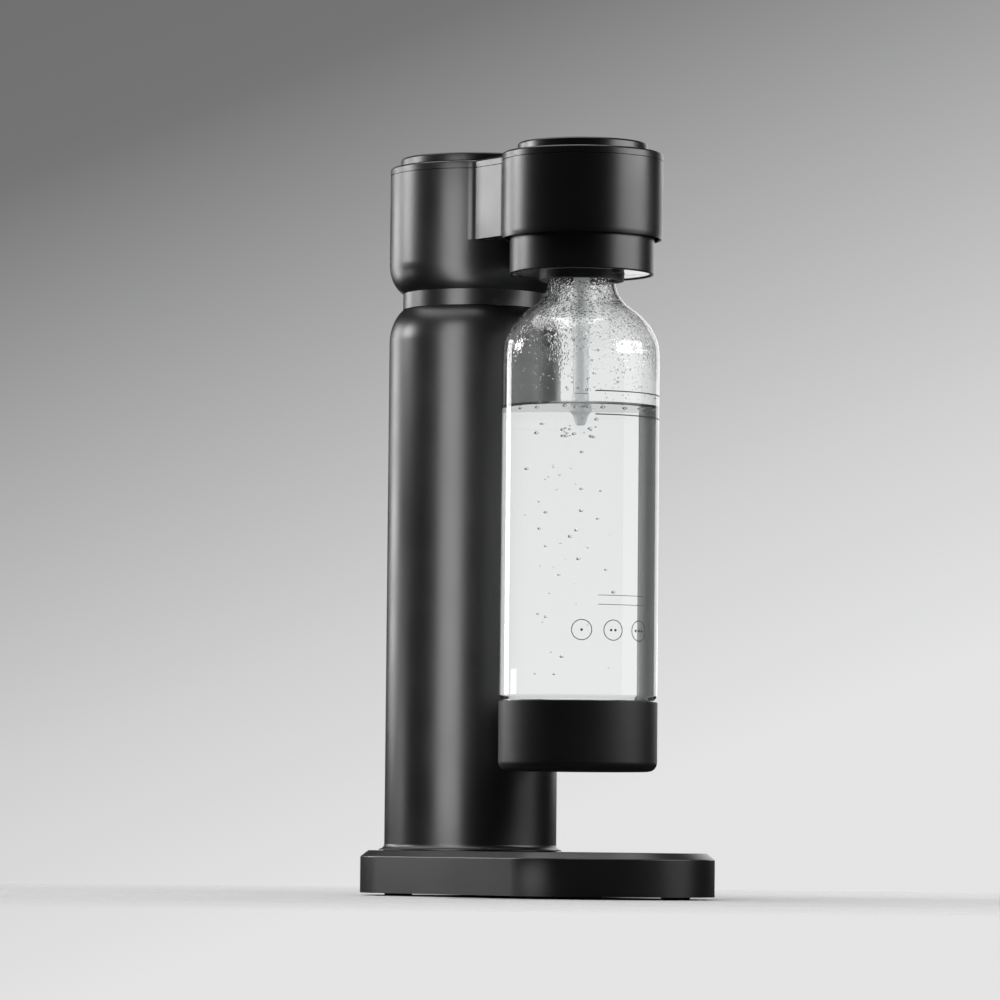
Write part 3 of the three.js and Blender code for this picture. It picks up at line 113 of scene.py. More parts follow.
# ---- Finishes -------------------------------------------------------------------------------------
class Bench:
    """A material under construction: one Principled shader and short ways to add nodes to it."""

    def __init__(self, name: str) -> None:
        """Starts an empty material.

        Args:
            name: the material's name.
        """
        self.material = bpy.data.materials.new(name)
        self.material.use_nodes = True
        self.tree = self.material.node_tree
        self.tree.nodes.clear()
        self.shader = self.tree.nodes.new("ShaderNodeBsdfPrincipled")
        output = self.tree.nodes.new("ShaderNodeOutputMaterial")
        self.tree.links.new(self.shader.outputs["BSDF"], output.inputs["Surface"])
        self.place = self.tree.nodes.new("ShaderNodeTexCoord").outputs["Object"]

    def fix(self, **values: object) -> None:
        """Sets constant shader values, with underscores for the spaces in a socket's name."""
        for name, value in values.items():
            self.shader.inputs[name.replace("_", " ")].default_value = value

    def drive(self, name: str, source: Socket) -> None:
        """Links a shader socket to a source."""
        self.tree.links.new(source, self.shader.inputs[name])

    def add(self, kind: str, **inputs: object) -> bpy.types.Node:
        """Adds a node.

        Args:
            kind: the node's type.
            inputs: its sockets, each a constant or another node's socket.

        Returns:
            The node.
        """
        node = self.tree.nodes.new(kind)
        for name, value in inputs.items():
            socket = node.inputs[name.replace("_", " ")]
            if isinstance(value, bpy.types.NodeSocket):
                self.tree.links.new(value, socket)
            else:
                socket.default_value = value
        return node

    def stretched(self, scale: Sequence[float]) -> Socket:
        """Object coordinates multiplied along each axis."""
        return self.add("ShaderNodeMapping", Vector=self.place, Scale=scale).outputs["Vector"]

    def noise(self, scale: float, detail: float = 2.0, at: Optional[Socket] = None) -> Socket:
        """A noise from 0 to 1.

        Args:
            scale: how many features there are in a metre, about.
            detail: octaves of finer noise.
            at: coordinates, the object's own if none are given.

        Returns:
            The noise's value.
        """
        made = self.add("ShaderNodeTexNoise", Vector=at or self.place, Scale=scale, Detail=detail)
        return made.outputs["Fac"]

    def spread(self, source: Socket, start: float, end: float, low_at: float = 0.3,
               high_at: float = 0.7) -> Socket:
        """A value stretched from one range to another.

        Args:
            source: the value.
            start: what it becomes at low_at.
            end: what it becomes at high_at.
            low_at: where the first range starts.
            high_at: where the first range ends.

        Returns:
            The stretched value.
        """
        node = self.tree.nodes.new("ShaderNodeMapRange")
        self.tree.links.new(source, node.inputs["Value"])
        for name, value in (("From Min", low_at), ("From Max", high_at), ("To Min", start), ("To Max", end)):
            node.inputs[name].default_value = value
        return node.outputs["Result"]

    def join(self, operation: str, first: Socket, second: object) -> Socket:
        """Two values combined by a math operation."""
        node = self.tree.nodes.new("ShaderNodeMath")
        node.operation = operation
        self.tree.links.new(first, node.inputs[0])
        if isinstance(second, bpy.types.NodeSocket):
            self.tree.links.new(second, node.inputs[1])
        else:
            node.inputs[1].default_value = second
        return node.outputs["Value"]

    def tint(self, source: Socket, first: Sequence[float], second: Sequence[float]) -> Socket:
        """A colour between two, by a value from 0 to 1."""
        node = self.tree.nodes.new("ShaderNodeMix")
        node.data_type = "RGBA"
        self.tree.links.new(source, node.inputs["Factor"])
        colours = [s for s in node.inputs if s.type == "RGBA"]
        colours[0].default_value = (*first, 1.0)
        colours[1].default_value = (*second, 1.0)
        return next(s for s in node.outputs if s.type == "RGBA")

    def bump(self, height: Socket, depth: float, strength: float = 1.0,
             under: Optional[Socket] = None) -> Socket:
        """A bumped normal.

        Args:
            height: a height from 0 to 1.
            depth: how many metres a height of 1 stands for.
            strength: share of the effect.
            under: the normal below it, if there is one.

        Returns:
            The normal.
        """
        inputs = {"Height": height, "Distance": depth, "Strength": strength}
        if under is not None:
            inputs["Normal"] = under
        return self.add("ShaderNodeBump", **inputs).outputs["Normal"]


Colour = tuple[float, float, float]


def scaled(colour: Colour, share: float) -> Colour:
    """A colour made lighter or darker."""
    return tuple(min(1.0, c * share) for c in colour)


@dataclass(frozen=True)
class SatinMoulding:
    """A moulded part with a fine even grain, a little cloudy in its gloss."""

    name: str
    colour: Colour = (0.0105, 0.0108, 0.0115)
    gloss: float = 0.34
    cloud: float = 0.03
    grain: float = 3.5e-6
    grain_scale: float = 3200.0

    def make(self) -> bpy.types.Material:
        """Builds the material."""
        bench = Bench(self.name)
        bench.fix(IOR=1.5, Specular_IOR_Level=0.5)
        cloud = bench.noise(22.0, 3.0)
        speck = bench.noise(1400.0, 1.0)
        shade = bench.join("ADD", bench.spread(cloud, 0.0, 0.6), bench.spread(speck, 0.0, 0.4))
        bench.drive("Base Color", bench.tint(shade, scaled(self.colour, 0.82), scaled(self.colour, 1.2)))
        wiped = bench.noise(9.0, 2.0, bench.stretched((1.0, 1.0, 0.35)))
        rough = bench.join(
            "ADD",
            bench.spread(cloud, self.gloss - self.cloud, self.gloss + self.cloud),
            bench.spread(wiped, -0.012, 0.012),
        )
        bench.drive("Roughness", rough)
        waves = bench.bump(bench.noise(38.0, 1.0), 9e-6, 0.35)
        bench.drive("Normal", bench.bump(bench.noise(self.grain_scale, 2.0), self.grain, 1.0, waves))
        return bench.material


@dataclass(frozen=True)
class Metal:
    """A bare or plated metal, with fine lines drawn out along one axis."""

    name: str
    colour: Colour
    gloss: float
    lines: tuple[float, float, float] = (1.0, 1.0, 1.0)
    scratch: float = 4e-6

    def make(self) -> bpy.types.Material:
        """Builds the material."""
        bench = Bench(self.name)
        bench.fix(Metallic=1.0)
        smudge = bench.noise(60.0, 3.0)
        line = bench.noise(900.0, 3.0, bench.stretched(self.lines))
        bench.drive("Base Color", bench.tint(smudge, scaled(self.colour, 0.88), scaled(self.colour, 1.06)))
        rough = bench.join("ADD", bench.spread(smudge, self.gloss * 0.75, self.gloss * 1.25),
                           bench.spread(line, -0.03, 0.03))
        bench.drive("Roughness", rough)
        bench.drive("Normal", bench.bump(line, self.scratch, 0.6))
        return bench.material


@dataclass(frozen=True)
class CastMetal:
    """Die-cast zinc with a slightly pebbled skin."""

    name: str
    colour: Colour = (0.33, 0.34, 0.35)

    def make(self) -> bpy.types.Material:
        """Builds the material."""
        bench = Bench(self.name)
        bench.fix(Metallic=1.0)
        skin = bench.noise(700.0, 3.0)
        bench.drive("Base Color", bench.tint(bench.noise(80.0), scaled(self.colour, 0.8), self.colour))
        bench.drive("Roughness", bench.spread(skin, 0.42, 0.6))
        bench.drive("Normal", bench.bump(skin, 3e-5, 0.6))
        return bench.material


@dataclass(frozen=True)
class Rubber:
    """Matt rubber with a dusty bloom."""

    name: str
    colour: Colour = (0.012, 0.012, 0.013)

    def make(self) -> bpy.types.Material:
        """Builds the material."""
        bench = Bench(self.name)
        bench.fix(IOR=1.45, Sheen_Weight=0.15, Sheen_Roughness=0.6)
        bloom = bench.noise(130.0, 4.0)
        bench.drive("Base Color", bench.tint(bloom, self.colour, scaled(self.colour, 2.2)))
        bench.drive("Roughness", bench.spread(bloom, 0.72, 0.92))
        bench.drive("Normal", bench.bump(bench.noise(1600.0, 2.0), 1.5e-5, 0.5))
        return bench.material


@dataclass(frozen=True)
class PowderCoat:
    """Sprayed and baked paint with orange peel."""

    name: str
    colour: Colour = (0.115, 0.15, 0.185)

    def make(self) -> bpy.types.Material:
        """Builds the material."""
        bench = Bench(self.name)
        bench.fix(IOR=1.5, Coat_Weight=0.25, Coat_Roughness=0.2)
        peel = bench.noise(420.0, 2.0)
        scuff = bench.noise(35.0, 5.0, bench.stretched((1.0, 1.0, 0.2)))
        bench.drive("Base Color", bench.tint(bench.spread(scuff, 0.0, 1.0, 0.45, 0.75), self.colour,
                                             scaled(self.colour, 1.5)))
        bench.drive("Roughness", bench.spread(scuff, 0.33, 0.5))
        bench.drive("Normal", bench.bump(peel, 2.5e-5, 0.6))
        return bench.material


@dataclass(frozen=True)
class PalePlastic:
    """Milky moulded tube that lets a little light through."""

    name: str
    colour: Colour = (0.62, 0.64, 0.64)

    def make(self) -> bpy.types.Material:
        """Builds the material."""
        bench = Bench(self.name)
        bench.fix(IOR=1.5, Subsurface_Weight=0.35, Subsurface_Radius=(0.004, 0.004, 0.004),
                  Subsurface_Scale=1.0)
        cloud = bench.noise(90.0, 2.0)
        bench.drive("Base Color", bench.tint(cloud, scaled(self.colour, 0.93), self.colour))
        bench.drive("Roughness", bench.spread(cloud, 0.28, 0.36))
        bench.drive("Normal", bench.bump(bench.noise(1500.0, 1.0), 4e-6, 0.5))
        return bench.material


@dataclass(frozen=True)
class BlownPlastic:
    """Clear blown bottle wall: slow waves in its thickness, and mist above the water."""

    name: str
    mist_from: float
    mist_to: float

    def make(self) -> bpy.types.Material:
        """Builds the material."""
        bench = Bench(self.name)
        bench.fix(Transmission_Weight=1.0, IOR=1.5, Base_Color=(0.985, 0.99, 0.99, 1.0))
        height = bench.add("ShaderNodeSeparateXYZ", Vector=bench.place).outputs["Z"]
        mask = bench.spread(height, 0.0, 1.0, self.mist_from, self.mist_to)
        spots = bench.add("ShaderNodeTexVoronoi", Vector=bench.place, Scale=620.0).outputs["Distance"]
        bead = bench.spread(spots, 1.0, 0.0, 0.05, 0.42)
        patch = bench.spread(bench.noise(95.0, 2.0), 0.0, 1.0, 0.38, 0.6)
        mist = bench.join("MULTIPLY", bench.join("MULTIPLY", bead, mask), patch)
        bench.drive("Roughness", bench.spread(bench.noise(50.0), 0.004, 0.02))
        waves = bench.bump(bench.noise(26.0, 1.0, bench.stretched((1.0, 1.0, 0.3))), 3e-5, 0.5)
        bench.drive("Normal", bench.bump(mist, 4.5e-4, 0.8, waves))
        return bench.material


@dataclass(frozen=True)
class Liquid:
    """Water, or the gas in a bubble inside it, with the faintest ripple."""

    name: str
    bend: float
    colour: Colour = (0.985, 0.99, 0.992)
    ripple: float = 2e-5

    def make(self) -> bpy.types.Material:
        """Builds the material."""
        bench = Bench(self.name)
        bench.fix(Transmission_Weight=1.0, IOR=self.bend, Roughness=0.0, Base_Color=(*self.colour, 1.0))
        bench.drive("Normal", bench.bump(bench.noise(45.0, 1.0), self.ripple, 0.5))
        return bench.material


@dataclass(frozen=True)
class Ink:
    """Printed ink, slightly uneven."""

    name: str
    colour: Colour = (0.02, 0.02, 0.022)

    def make(self) -> bpy.types.Material:
        """Builds the material."""
        bench = Bench(self.name)
        press = bench.noise(900.0, 2.0)
        bench.drive("Base Color", bench.tint(press, self.colour, scaled(self.colour, 2.0)))
        bench.drive("Roughness", bench.spread(press, 0.45, 0.6))
        return bench.material


# ---- Meshes ---------------------------------------------------------------------------------------
class Form:
    """A mesh under construction. Sizes are millimetres, and its finished mesh is in metres."""

    def __init__(self) -> None:
        """Starts with nothing."""
        self.bm = bmesh.new()

    def wire(self, corners: Sequence[Corner], x: float = 0.0, y: float = 0.0, turn: float = 0.0,
             closed: bool = False) -> list:
        """Draws a profile standing upright, with the corners that ask for it rounded.

        Args:
            corners: (radius, height) or (radius, height, how far its edges are cut back).
            x: where the axis stands.
            y: where the axis stands.
            turn: the angle of the profile's plane about the axis, in radians.
            closed: whether the last corner joins the first.

        Returns:
            The vertices and edges.
        """
        known = set(self.bm.verts)
        out = Vector((math.cos(turn), math.sin(turn), 0))
        base = Vector((x, y, 0))
        verts = [self.bm.verts.new(base + out * corner[0] + UP * corner[1]) for corner in corners]
        pairs = list(zip(verts, verts[1:])) + ([(verts[-1], verts[0])] if closed else [])
        for pair in pairs:
            self.bm.edges.new(pair)
        for vert, corner in zip(verts, corners):
            if len(corner) > 2:
                bmesh.ops.bevel(self.bm, geom=[vert], offset=corner[2], segments=4, profile=0.5,
                                affect="VERTICES", material=-1)
        new = [v for v in self.bm.verts if v not in known]
        return new + list({e for v in new for e in v.link_edges})

    def spin(self, geom: Iterable, x: float, y: float = 0.0, angle: float = 2 * math.pi,
             steps: int = 128) -> list:
        """Turns geometry about an upright axis.

        Args:
            geom: what is turned.
            x: where the axis stands.
            y: where the axis stands.
            angle: how far, in radians.
            steps: how many steps that takes.

        Returns:
            The geometry at the far end.
        """
        whole = abs(angle - 2 * math.pi) < 1e-9
        made = bmesh.ops.spin(self.bm, geom=list(geom), cent=(x, y, 0), axis=UP, angle=angle,
                              steps=steps, use_merge=whole)
        return made["geom_last"]

    def lathe(self, corners: Sequence[Corner], x: float, y: float = 0.0, closed: bool = False,
              steps: int = 128) -> "Form":
        """Turns a profile all the way round."""
        self.spin(self.wire(corners, x, y, closed=closed), x, y, steps=steps)
        return self.merge()

    def oval(self, corners: Sequence[Corner], x: float, half: float, steps: int = 64) -> "Form":
        """Carries a profile round an outline with two half-round ends.

        Args:
            corners: the profile.
            x: the middle of the outline.
            half: half the length of its straight sides.
            steps: steps in each half-round end.

        Returns:
            This form.
        """
        geom = self.wire(corners, x + half, turn=-math.pi / 2)
        for centre, step in ((x + half, -2 * half), (x - half, 2 * half)):
            geom = self.spin(geom, centre, angle=math.pi, steps=steps)
            edges = [g for g in geom if isinstance(g, BMEdge)]
            geom = bmesh.ops.extrude_edge_only(self.bm, edges=edges)["geom"]
            verts = [g for g in geom if isinstance(g, BMVert)]
            geom = verts + [g for g in geom if isinstance(g, BMEdge)]
            bmesh.ops.translate(self.bm, verts=verts, vec=(step, 0, 0))
        return self.merge()

    def merge(self) -> "Form":
        """Joins vertices that lie on each other."""
        bmesh.ops.remove_doubles(self.bm, verts=self.bm.verts, dist=MERGE / MM)
        return self

    def lowered(self, edges: Sequence[BMEdge], centre: Vector, share: float, rise: float) -> list[BMEdge]:
        """Extrudes a loop of edges, scales it about an upright axis and moves it up or down.

        Args:
            edges: the loop.
            centre: a point on the axis.
            share: the scale.
            rise: how far up.

        Returns:
            The new loop.
        """
        made = bmesh.ops.extrude_edge_only(self.bm, edges=list(edges))["geom"]
        verts = [g for g in made if isinstance(g, BMVert)]
        bmesh.ops.scale(self.bm, vec=(share, share, 1), space=Matrix.Translation(-centre), verts=verts)
        bmesh.ops.translate(self.bm, verts=verts, vec=(0, 0, rise))
        return [g for g in made if isinstance(g, BMEdge)]

    def ring(self, x: float, y: float, r: float, z: float, steps: int = 96) -> list[BMEdge]:
        """Draws a level circle of edges."""
        place = Matrix.Translation((x, y, z))
        made = bmesh.ops.create_circle(self.bm, cap_ends=False, segments=steps, radius=r, matrix=place)
        return list({e for v in made["verts"] for e in v.link_edges})

    def edges(self, test: Callable[[Vector], bool]) -> list[BMEdge]:
        """The edges whose two ends both pass a test on their place."""
        return [e for e in self.bm.edges if all(test(v.co) for v in e.verts)]

    def open_edges(self, z: float) -> list[BMEdge]:
        """The edges of an open rim at a height."""
        return [e for e in self.bm.edges if e.is_boundary and all(abs(v.co.z - z) < 0.01 for v in e.verts)]

    def fill(self, edges: Sequence[BMEdge]) -> None:
        """Fills a flat outline, and leaves the outlines inside it open."""
        bmesh.ops.triangle_fill(self.bm, use_beauty=True, use_dissolve=False, edges=list(edges))

    def outwards(self) -> "Form":
        """Makes every face point out."""
        bmesh.ops.recalc_face_normals(self.bm, faces=self.bm.faces)
        self.bm.normal_update()
        outer = max(self.bm.faces, key=lambda f: f.calc_center_median().y)
        if outer.normal.y < 0:
            bmesh.ops.reverse_faces(self.bm, faces=self.bm.faces)
        return self

    def finish(self, name: str, material: bpy.types.Material, wall: float = 0.0, edge: float = 0.0,
               crease: float = 38.0, closed: bool = True) -> bpy.types.Object:
        """Ends the form as an object at the origin.

        Args:
            name: the object's name.
            material: its finish.
            wall: thickness given to an open skin, inwards.
            edge: width of the round on its sharp edges.
            crease: the angle, in degrees, past which an edge stays sharp in the shading.
            closed: whether its faces are turned outwards first.

        Returns:
            The object.
        """
        if closed:
            self.outwards()
        bmesh.ops.scale(self.bm, vec=(MM, MM, MM), verts=self.bm.verts)
        mesh = bpy.data.meshes.new(name)
        self.bm.to_mesh(mesh)
        self.bm.free()
        mesh.shade_smooth()
        mesh.materials.append(material)
        piece = bpy.data.objects.new(name, mesh)
        bpy.context.scene.collection.objects.link(piece)
        if wall:
            shell = piece.modifiers.new("wall", "SOLIDIFY")
            shell.thickness = wall * MM
            shell.offset = -1.0
            shell.use_even_offset = True
        if edge:
            soft = piece.modifiers.new("edge", "BEVEL")
            soft.width = edge * MM
            soft.segments = 3
            soft.limit_method = "ANGLE"
            soft.angle_limit = math.radians(crease)
        else:
            mesh.set_sharp_from_angle(angle=math.radians(crease))
        flat = piece.modifiers.new("flat", "WEIGHTED_NORMAL")
        flat.keep_sharp = True
        return piece


def arc(r: float, z: float, across: float, long: float, rise: float, steps: int = 20) -> list[Corner]:
    """Points of a quarter ellipse that leaves a straight side and leans inwards.

    Args:
        r: radius of the straight side.
        z: height where the curve starts.
        across: half width of the ellipse.
        long: its half height, negative if the curve goes down.
        rise: how much of that height is used.
        steps: how many steps.

    Returns:
        (radius, height) points.
    """
    points = []
    for i in range(steps + 1):
        up = rise * math.sin(math.pi / 2 * i / steps)
        share = math.sqrt(max(0.0, 1 - (up / long) ** 2))
        points.append((r - across * (1 - share), z + math.copysign(up, long)))
    return points


def across_for(r: float, end: float, long: float, rise: float) -> float:
    """The half width of the ellipse that leans in from radius r to radius end over a rise."""
    return (r - end) / (1 - math.sqrt(1 - (rise / long) ** 2))


def register(piece: bpy.types.Object, body: str, slot: Optional[Slot], *nodes: str) -> bpy.types.Object:
    """Puts a finished piece on its body.

    Args:
        piece: the piece.
        body: the CAD body it moves with.
        slot: the record's material slot for the piece, or none for ink; it is not used.
        nodes: the CAD nodes that it stands for.

    Returns:
        The piece.
    """
    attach(piece, body)
    if nodes:
        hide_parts(*nodes)
    log.info("%s: rides on %s", piece.name, body)
    return piece


# ---- The object's sub-assemblies ------------------------------------------------------------------
@dataclass
class Base:
    """The oval foot of the machine: shell, bottom cover and rubber feet."""

    body: bpy.types.Material
    inner: bpy.types.Material
    rubber: bpy.types.Material
    wall: float = 2.5
    chamfer_width: float = 4.5
    chamfer_height: float = 3.5
    well_gap: float = 0.3
    cradle_wall: float = 3.0

    def build(self) -> None:
        """Builds and places the pieces."""
        self.shell()
        self.cover()
        for i in range(1, 5):
            self.foot(f"rubber_foot_{i}")

    def shell(self) -> None:
        """The shell: a skin with a chamfered shoulder and a round well under the column."""
        bottom, top = low("base_shell"), high("base_shell")
        r = radius("base_shell")
        half = top.x - r
        form = Form()
        form.oval(
            [(r - 0.01, bottom.z), (r, bottom.z + 0.01), (r, top.z - self.chamfer_height, 0.45),
             (r - self.chamfer_width, top.z, 0.35), (r - 2 * self.chamfer_width, top.z)],
            0.0, half,
        )
        well = self.well_radius()
        hole = form.ring(middle("column_tube").x, 0, well, top.z)
        form.fill(form.open_edges(top.z) + hole)
        shell = form.finish("base_shell_finished", self.body, wall=self.wall, crease=25.0)
        register(shell, "stand", Slot.BODY, "base_shell")

    def well_radius(self) -> float:
        """The radius of the hole in the shell's top, round the cylinder's cradle."""
        return radius("gas_cylinder") + self.cradle_wall + 2 * self.well_gap

    def cover(self) -> None:
        """The bottom cover, a flat plate with a rounded lower edge."""
        bottom, top = low("base_cover"), high("base_cover")
        r = radius("base_cover")
        form = Form()
        form.oval([(0, bottom.z), (r, bottom.z, 0.5), (r, top.z, 0.3), (0, top.z)], 0.0, top.x - r)
        plate = form.finish("base_cover_finished", self.inner)
        register(plate, "stand", Slot.INNER, "base_cover")

    def foot(self, node: str) -> None:
        """A rubber pad with a rounded edge and a shallow dish below.

        Args:
            node: the CAD foot that it stands for.
        """
        bottom, top, at = low(node).z, high(node).z, middle(node)
        r = radius(node)
        profile = [(0, bottom + 0.35), (r - 2.8, bottom + 0.3, 0.3), (r - 2.0, bottom, 0.3),
                   (r, bottom, 0.7), (r, top, 0.2), (0, top)]
        foot = Form().lathe(profile, at.x, at.y, steps=48).finish(f"{node}_finished", self.rubber)
        register(foot, "stand", Slot.RUBBER, node)


@dataclass
class Column:
    """The round column with its slide-off door."""

    body: bpy.types.Material
    wall: float = 2.5
    flare: float = 3.0
    shoulder_drop: float = 19.2
    shoulder_long: float = 22.0
    neck: float = 41.4
    steps: int = 144
    door_gap: float = 0.3
    door_steps: int = 80
    dip_drop: float = 26.0
    dip_half: float = 15.0
    dip_rise: float = 9.0
    dip_depth: float = 2.0

    def build(self) -> None:
        """Builds and places the pieces."""
        self.x = middle("cylinder_cradle").x
        self.r = radius("column_tube") - self.flare
        self.bottom, self.top = low("column_tube").z, high("column_tube").z
        self.door_low, self.door_high = low("back_cover").z, high("back_cover").z
        self.door_half = math.asin(radius("back_cover") / self.r)
        self.tube()
        self.door()

    def foot(self) -> list[Corner]:
        """The small cove that meets the base."""
        points = []
        for i in range(9):
            angle = math.pi / 2 * i / 8
            points.append((self.r + self.flare * (1 - math.sin(angle)),
                           self.bottom + 0.6 + self.flare * (1 - math.cos(angle))))
        return [(self.r + self.flare, self.bottom), *points]

    def tube(self) -> None:
        """The tube: cove, straight side, rounded shoulder, and the window that the door closes."""
        across = across_for(self.r, self.neck, self.shoulder_long, self.shoulder_drop)
        window = (self.door_low - self.door_gap, self.door_high + self.door_gap)
        profile = [*self.foot(), (self.r, window[0]), (self.r, window[1]),
                   *arc(self.r, self.top - self.shoulder_drop, across, self.shoulder_long,
                        self.shoulder_drop)]
        form = Form().lathe(profile, self.x, steps=self.steps)
        limit = self.door_half + math.radians(1)

        def in_window(face: BMFace) -> bool:
            """Whether a face is where the door goes."""
            centre = face.calc_center_median()
            angle = math.atan2(centre.y, self.x - centre.x)
            return abs(angle) < limit and window[0] < centre.z < window[1]

        gone = [f for f in form.bm.faces if in_window(f)]
        bmesh.ops.delete(form.bm, geom=gone, context="FACES")
        tube = form.finish("column_tube_finished", self.body, wall=self.wall, edge=0.3, crease=30.0)
        register(tube, "stand", Slot.BODY, "column_tube")

    def door(self) -> None:
        """The door: a curved panel with a finger dip moulded near its top."""
        form = Form()
        start = math.pi - self.door_half
        heights = [self.door_low + (self.door_high - self.door_low) * i / 60 for i in range(61)]
        geom = form.wire([(self.r, z) for z in heights], self.x, turn=start)
        form.spin(geom, self.x, angle=2 * self.door_half, steps=self.door_steps)
        form.merge()
        self.finger_dip(form)
        door = form.finish("back_cover_finished", self.body, wall=self.wall, edge=0.3, crease=40.0)
        register(door, "back_cover", Slot.BODY, "back_cover")

    def finger_dip(self, form: Form) -> None:
        """Presses a shallow round dip into the door.

        Args:
            form: the door's skin.
        """
        centre = Vector((self.x - self.r, 0, self.door_high - self.dip_drop))
        for vert in form.bm.verts:
            away = vert.co - centre
            share = 1 - min(1.0, math.hypot(away.y / self.dip_half, away.z / self.dip_rise)) ** 2
            inwards = Vector((self.x - vert.co.x, -vert.co.y, 0)).normalized()
            vert.co += inwards * self.dip_depth * share * share


@dataclass
class Head:
    """The head: one moulding over column and bottle, its cover, the rear cap and the button."""

    body: bpy.types.Material
    wall: float = 1.3
    neck_height: float = 9.0
    bowl: float = 16.5
    bowl_long: float = 19.0
    rear_r: float = 49.3
    neck_r: float = 41.4
    front_r: float = 45.0
    rim_r: float = 44.4
    front_depth: float = 43.5
    arm_half: float = 30.0
    arm_cove: float = 8.0
    arm_raise: float = 3.0
    cover_edge: float = 1.2
    button_gap: float = 0.5
    button_well: float = 3.5

    def build(self) -> None:
        """Builds and places the pieces."""
        self.rear = Vector((middle("rear_cap").x, 0, 0))
        self.front = Vector((middle("button_cap").x, 0, 0))
        self.seam = high("head_casing").z
        self.bottom = low("head_casing").z
        self.rim = self.seam - self.front_depth
        self.casing()
        self.cover()
        self.cap()
        self.button()

    def reach(self, r: float) -> float:
        """How far the centre of a cove lies along the arm from the centre of a round."""
        return math.sqrt((r + self.arm_cove) ** 2 - (self.arm_half + self.arm_cove) ** 2)

    def outline(self, form: Form, z: float) -> None:
        """Draws the outline of both rounds and the arm between them.

        Args:
            form: what it is drawn in.
            z: its height.
        """
        side = self.arm_half + self.arm_cove
        a = math.atan2(side, self.reach(self.rear_r))
        b = math.atan2(side, self.reach(self.front_r))
        rear_x = self.rear.x + self.reach(self.rear_r)
        front_x = self.front.x - self.reach(self.front_r)
        start = self.front + Vector((-math.cos(b), -math.sin(b), 0)) * self.front_r + UP * z
        here = [form.bm.verts.new(start)]
        quarter = math.pi / 2
        stops = [
            (self.front.x, 0.0, 2 * (math.pi - b), 96, None),
            (front_x, side, b - quarter, 8, rear_x - front_x),
            (rear_x, side, a - quarter, 8, None),
            (self.rear.x, 0.0, 2 * (math.pi - a), 96, None),
            (rear_x, -side, a - quarter, 8, front_x - rear_x),
            (front_x, -side, b - quarter, 8, None),
        ]
        for x, y, angle, steps, straight in stops:
            here = form.spin(here, x, y, angle, steps)
            if straight is not None:
                here = self.straight(form, here, straight)
        self.crossing(form, self.rear, self.rear_r, -a, z)
        self.crossing(form, self.front, self.front_r, math.pi - b, z)
        form.merge()

    def straight(self, form: Form, here: list, length: float) -> list:
        """Draws a straight edge along the arm from the last point.

        Args:
            form: what it is drawn in.
            here: the last point.
            length: how far along X.

        Returns:
            The new last point.
        """
        vert = next(g for g in here if isinstance(g, BMVert))
        new = form.bm.verts.new(vert.co + Vector((length, 0, 0)))
        form.bm.edges.new((vert, new))
        return [new]

    def crossing(self, form: Form, centre: Vector, r: float, start: float, z: float) -> None:
        """Draws the part of a round that the arm covers.

        Args:
            form: what it is drawn in.
            centre: the round's centre.
            r: its radius.
            start: the angle where the arc starts.
            z: its height.
        """
        point = centre + Vector((math.cos(start), math.sin(start), 0)) * r + UP * z
        angle = 2 * abs(start) if abs(start) < math.pi / 2 else 2 * (math.pi - start)
        form.spin([form.bm.verts.new(point)], centre.x, angle=angle, steps=32)

    def on_round(self, centre: Vector, r: float) -> Callable[[Vector], bool]:
        """A test for points on a round."""
        return lambda p: abs(math.hypot(p.x - centre.x, p.y) - r) < 0.01

    def casing(self) -> None:
        """The casing: walls of the outline, the arm's underside, the bowl and neck, the front rim."""
        form = Form()
        z = self.rim + self.arm_raise
        self.outline(form, z)
        rear, front = self.on_round(self.rear, self.rear_r), self.on_round(self.front, self.front_r)
        a = math.atan2(self.arm_half + self.arm_cove, self.reach(self.rear_r))
        b = math.atan2(self.arm_half + self.arm_cove, self.reach(self.front_r))
        rear_cut = self.rear.x + self.rear_r * math.cos(a) - 0.01
        front_cut = self.front.x - self.front_r * math.cos(b) + 0.01
        rear_loop, front_loop = form.edges(rear), form.edges(front)
        under = [e for e in rear_loop if all(v.co.x > rear_cut for v in e.verts)]
        under += [e for e in front_loop if all(v.co.x < front_cut for v in e.verts)]
        arm = [e for e in form.bm.edges if e not in set(rear_loop) | set(front_loop)]
        outline = [e for e in form.bm.edges if e not in set(under)]
        bmesh.ops.contextual_create(form.bm, geom=arm + under)
        form.lowered(outline, Vector(), 1.0, self.seam - z)
        self.rear_below(form, rear_loop, z)
        form.lowered(front_loop, self.front, self.rim_r / self.front_r, self.rim - z)
        casing = form.finish("head_casing_finished", self.body, wall=self.wall, edge=0.35, crease=30.0)
        register(casing, "stand", Slot.BODY, "head_casing")

    def rear_below(self, form: Form, loop: list[BMEdge], z: float) -> None:
        """Carries the rear round down its bowl and neck.

        Args:
            form: the casing.
            loop: the round's edges at the height of the arm's underside.
            z: that height.
        """
        start = self.bottom + self.neck_height + self.bowl
        across = across_for(self.rear_r, self.neck_r, self.bowl_long, self.bowl)
        points = arc(self.rear_r, start, across, -self.bowl_long, self.bowl)
        points.append((self.neck_r, self.bottom))
        r = self.rear_r
        for next_r, next_z in points:
            loop = form.lowered(loop, self.rear, next_r / r, next_z - z)
            r, z = next_r, next_z

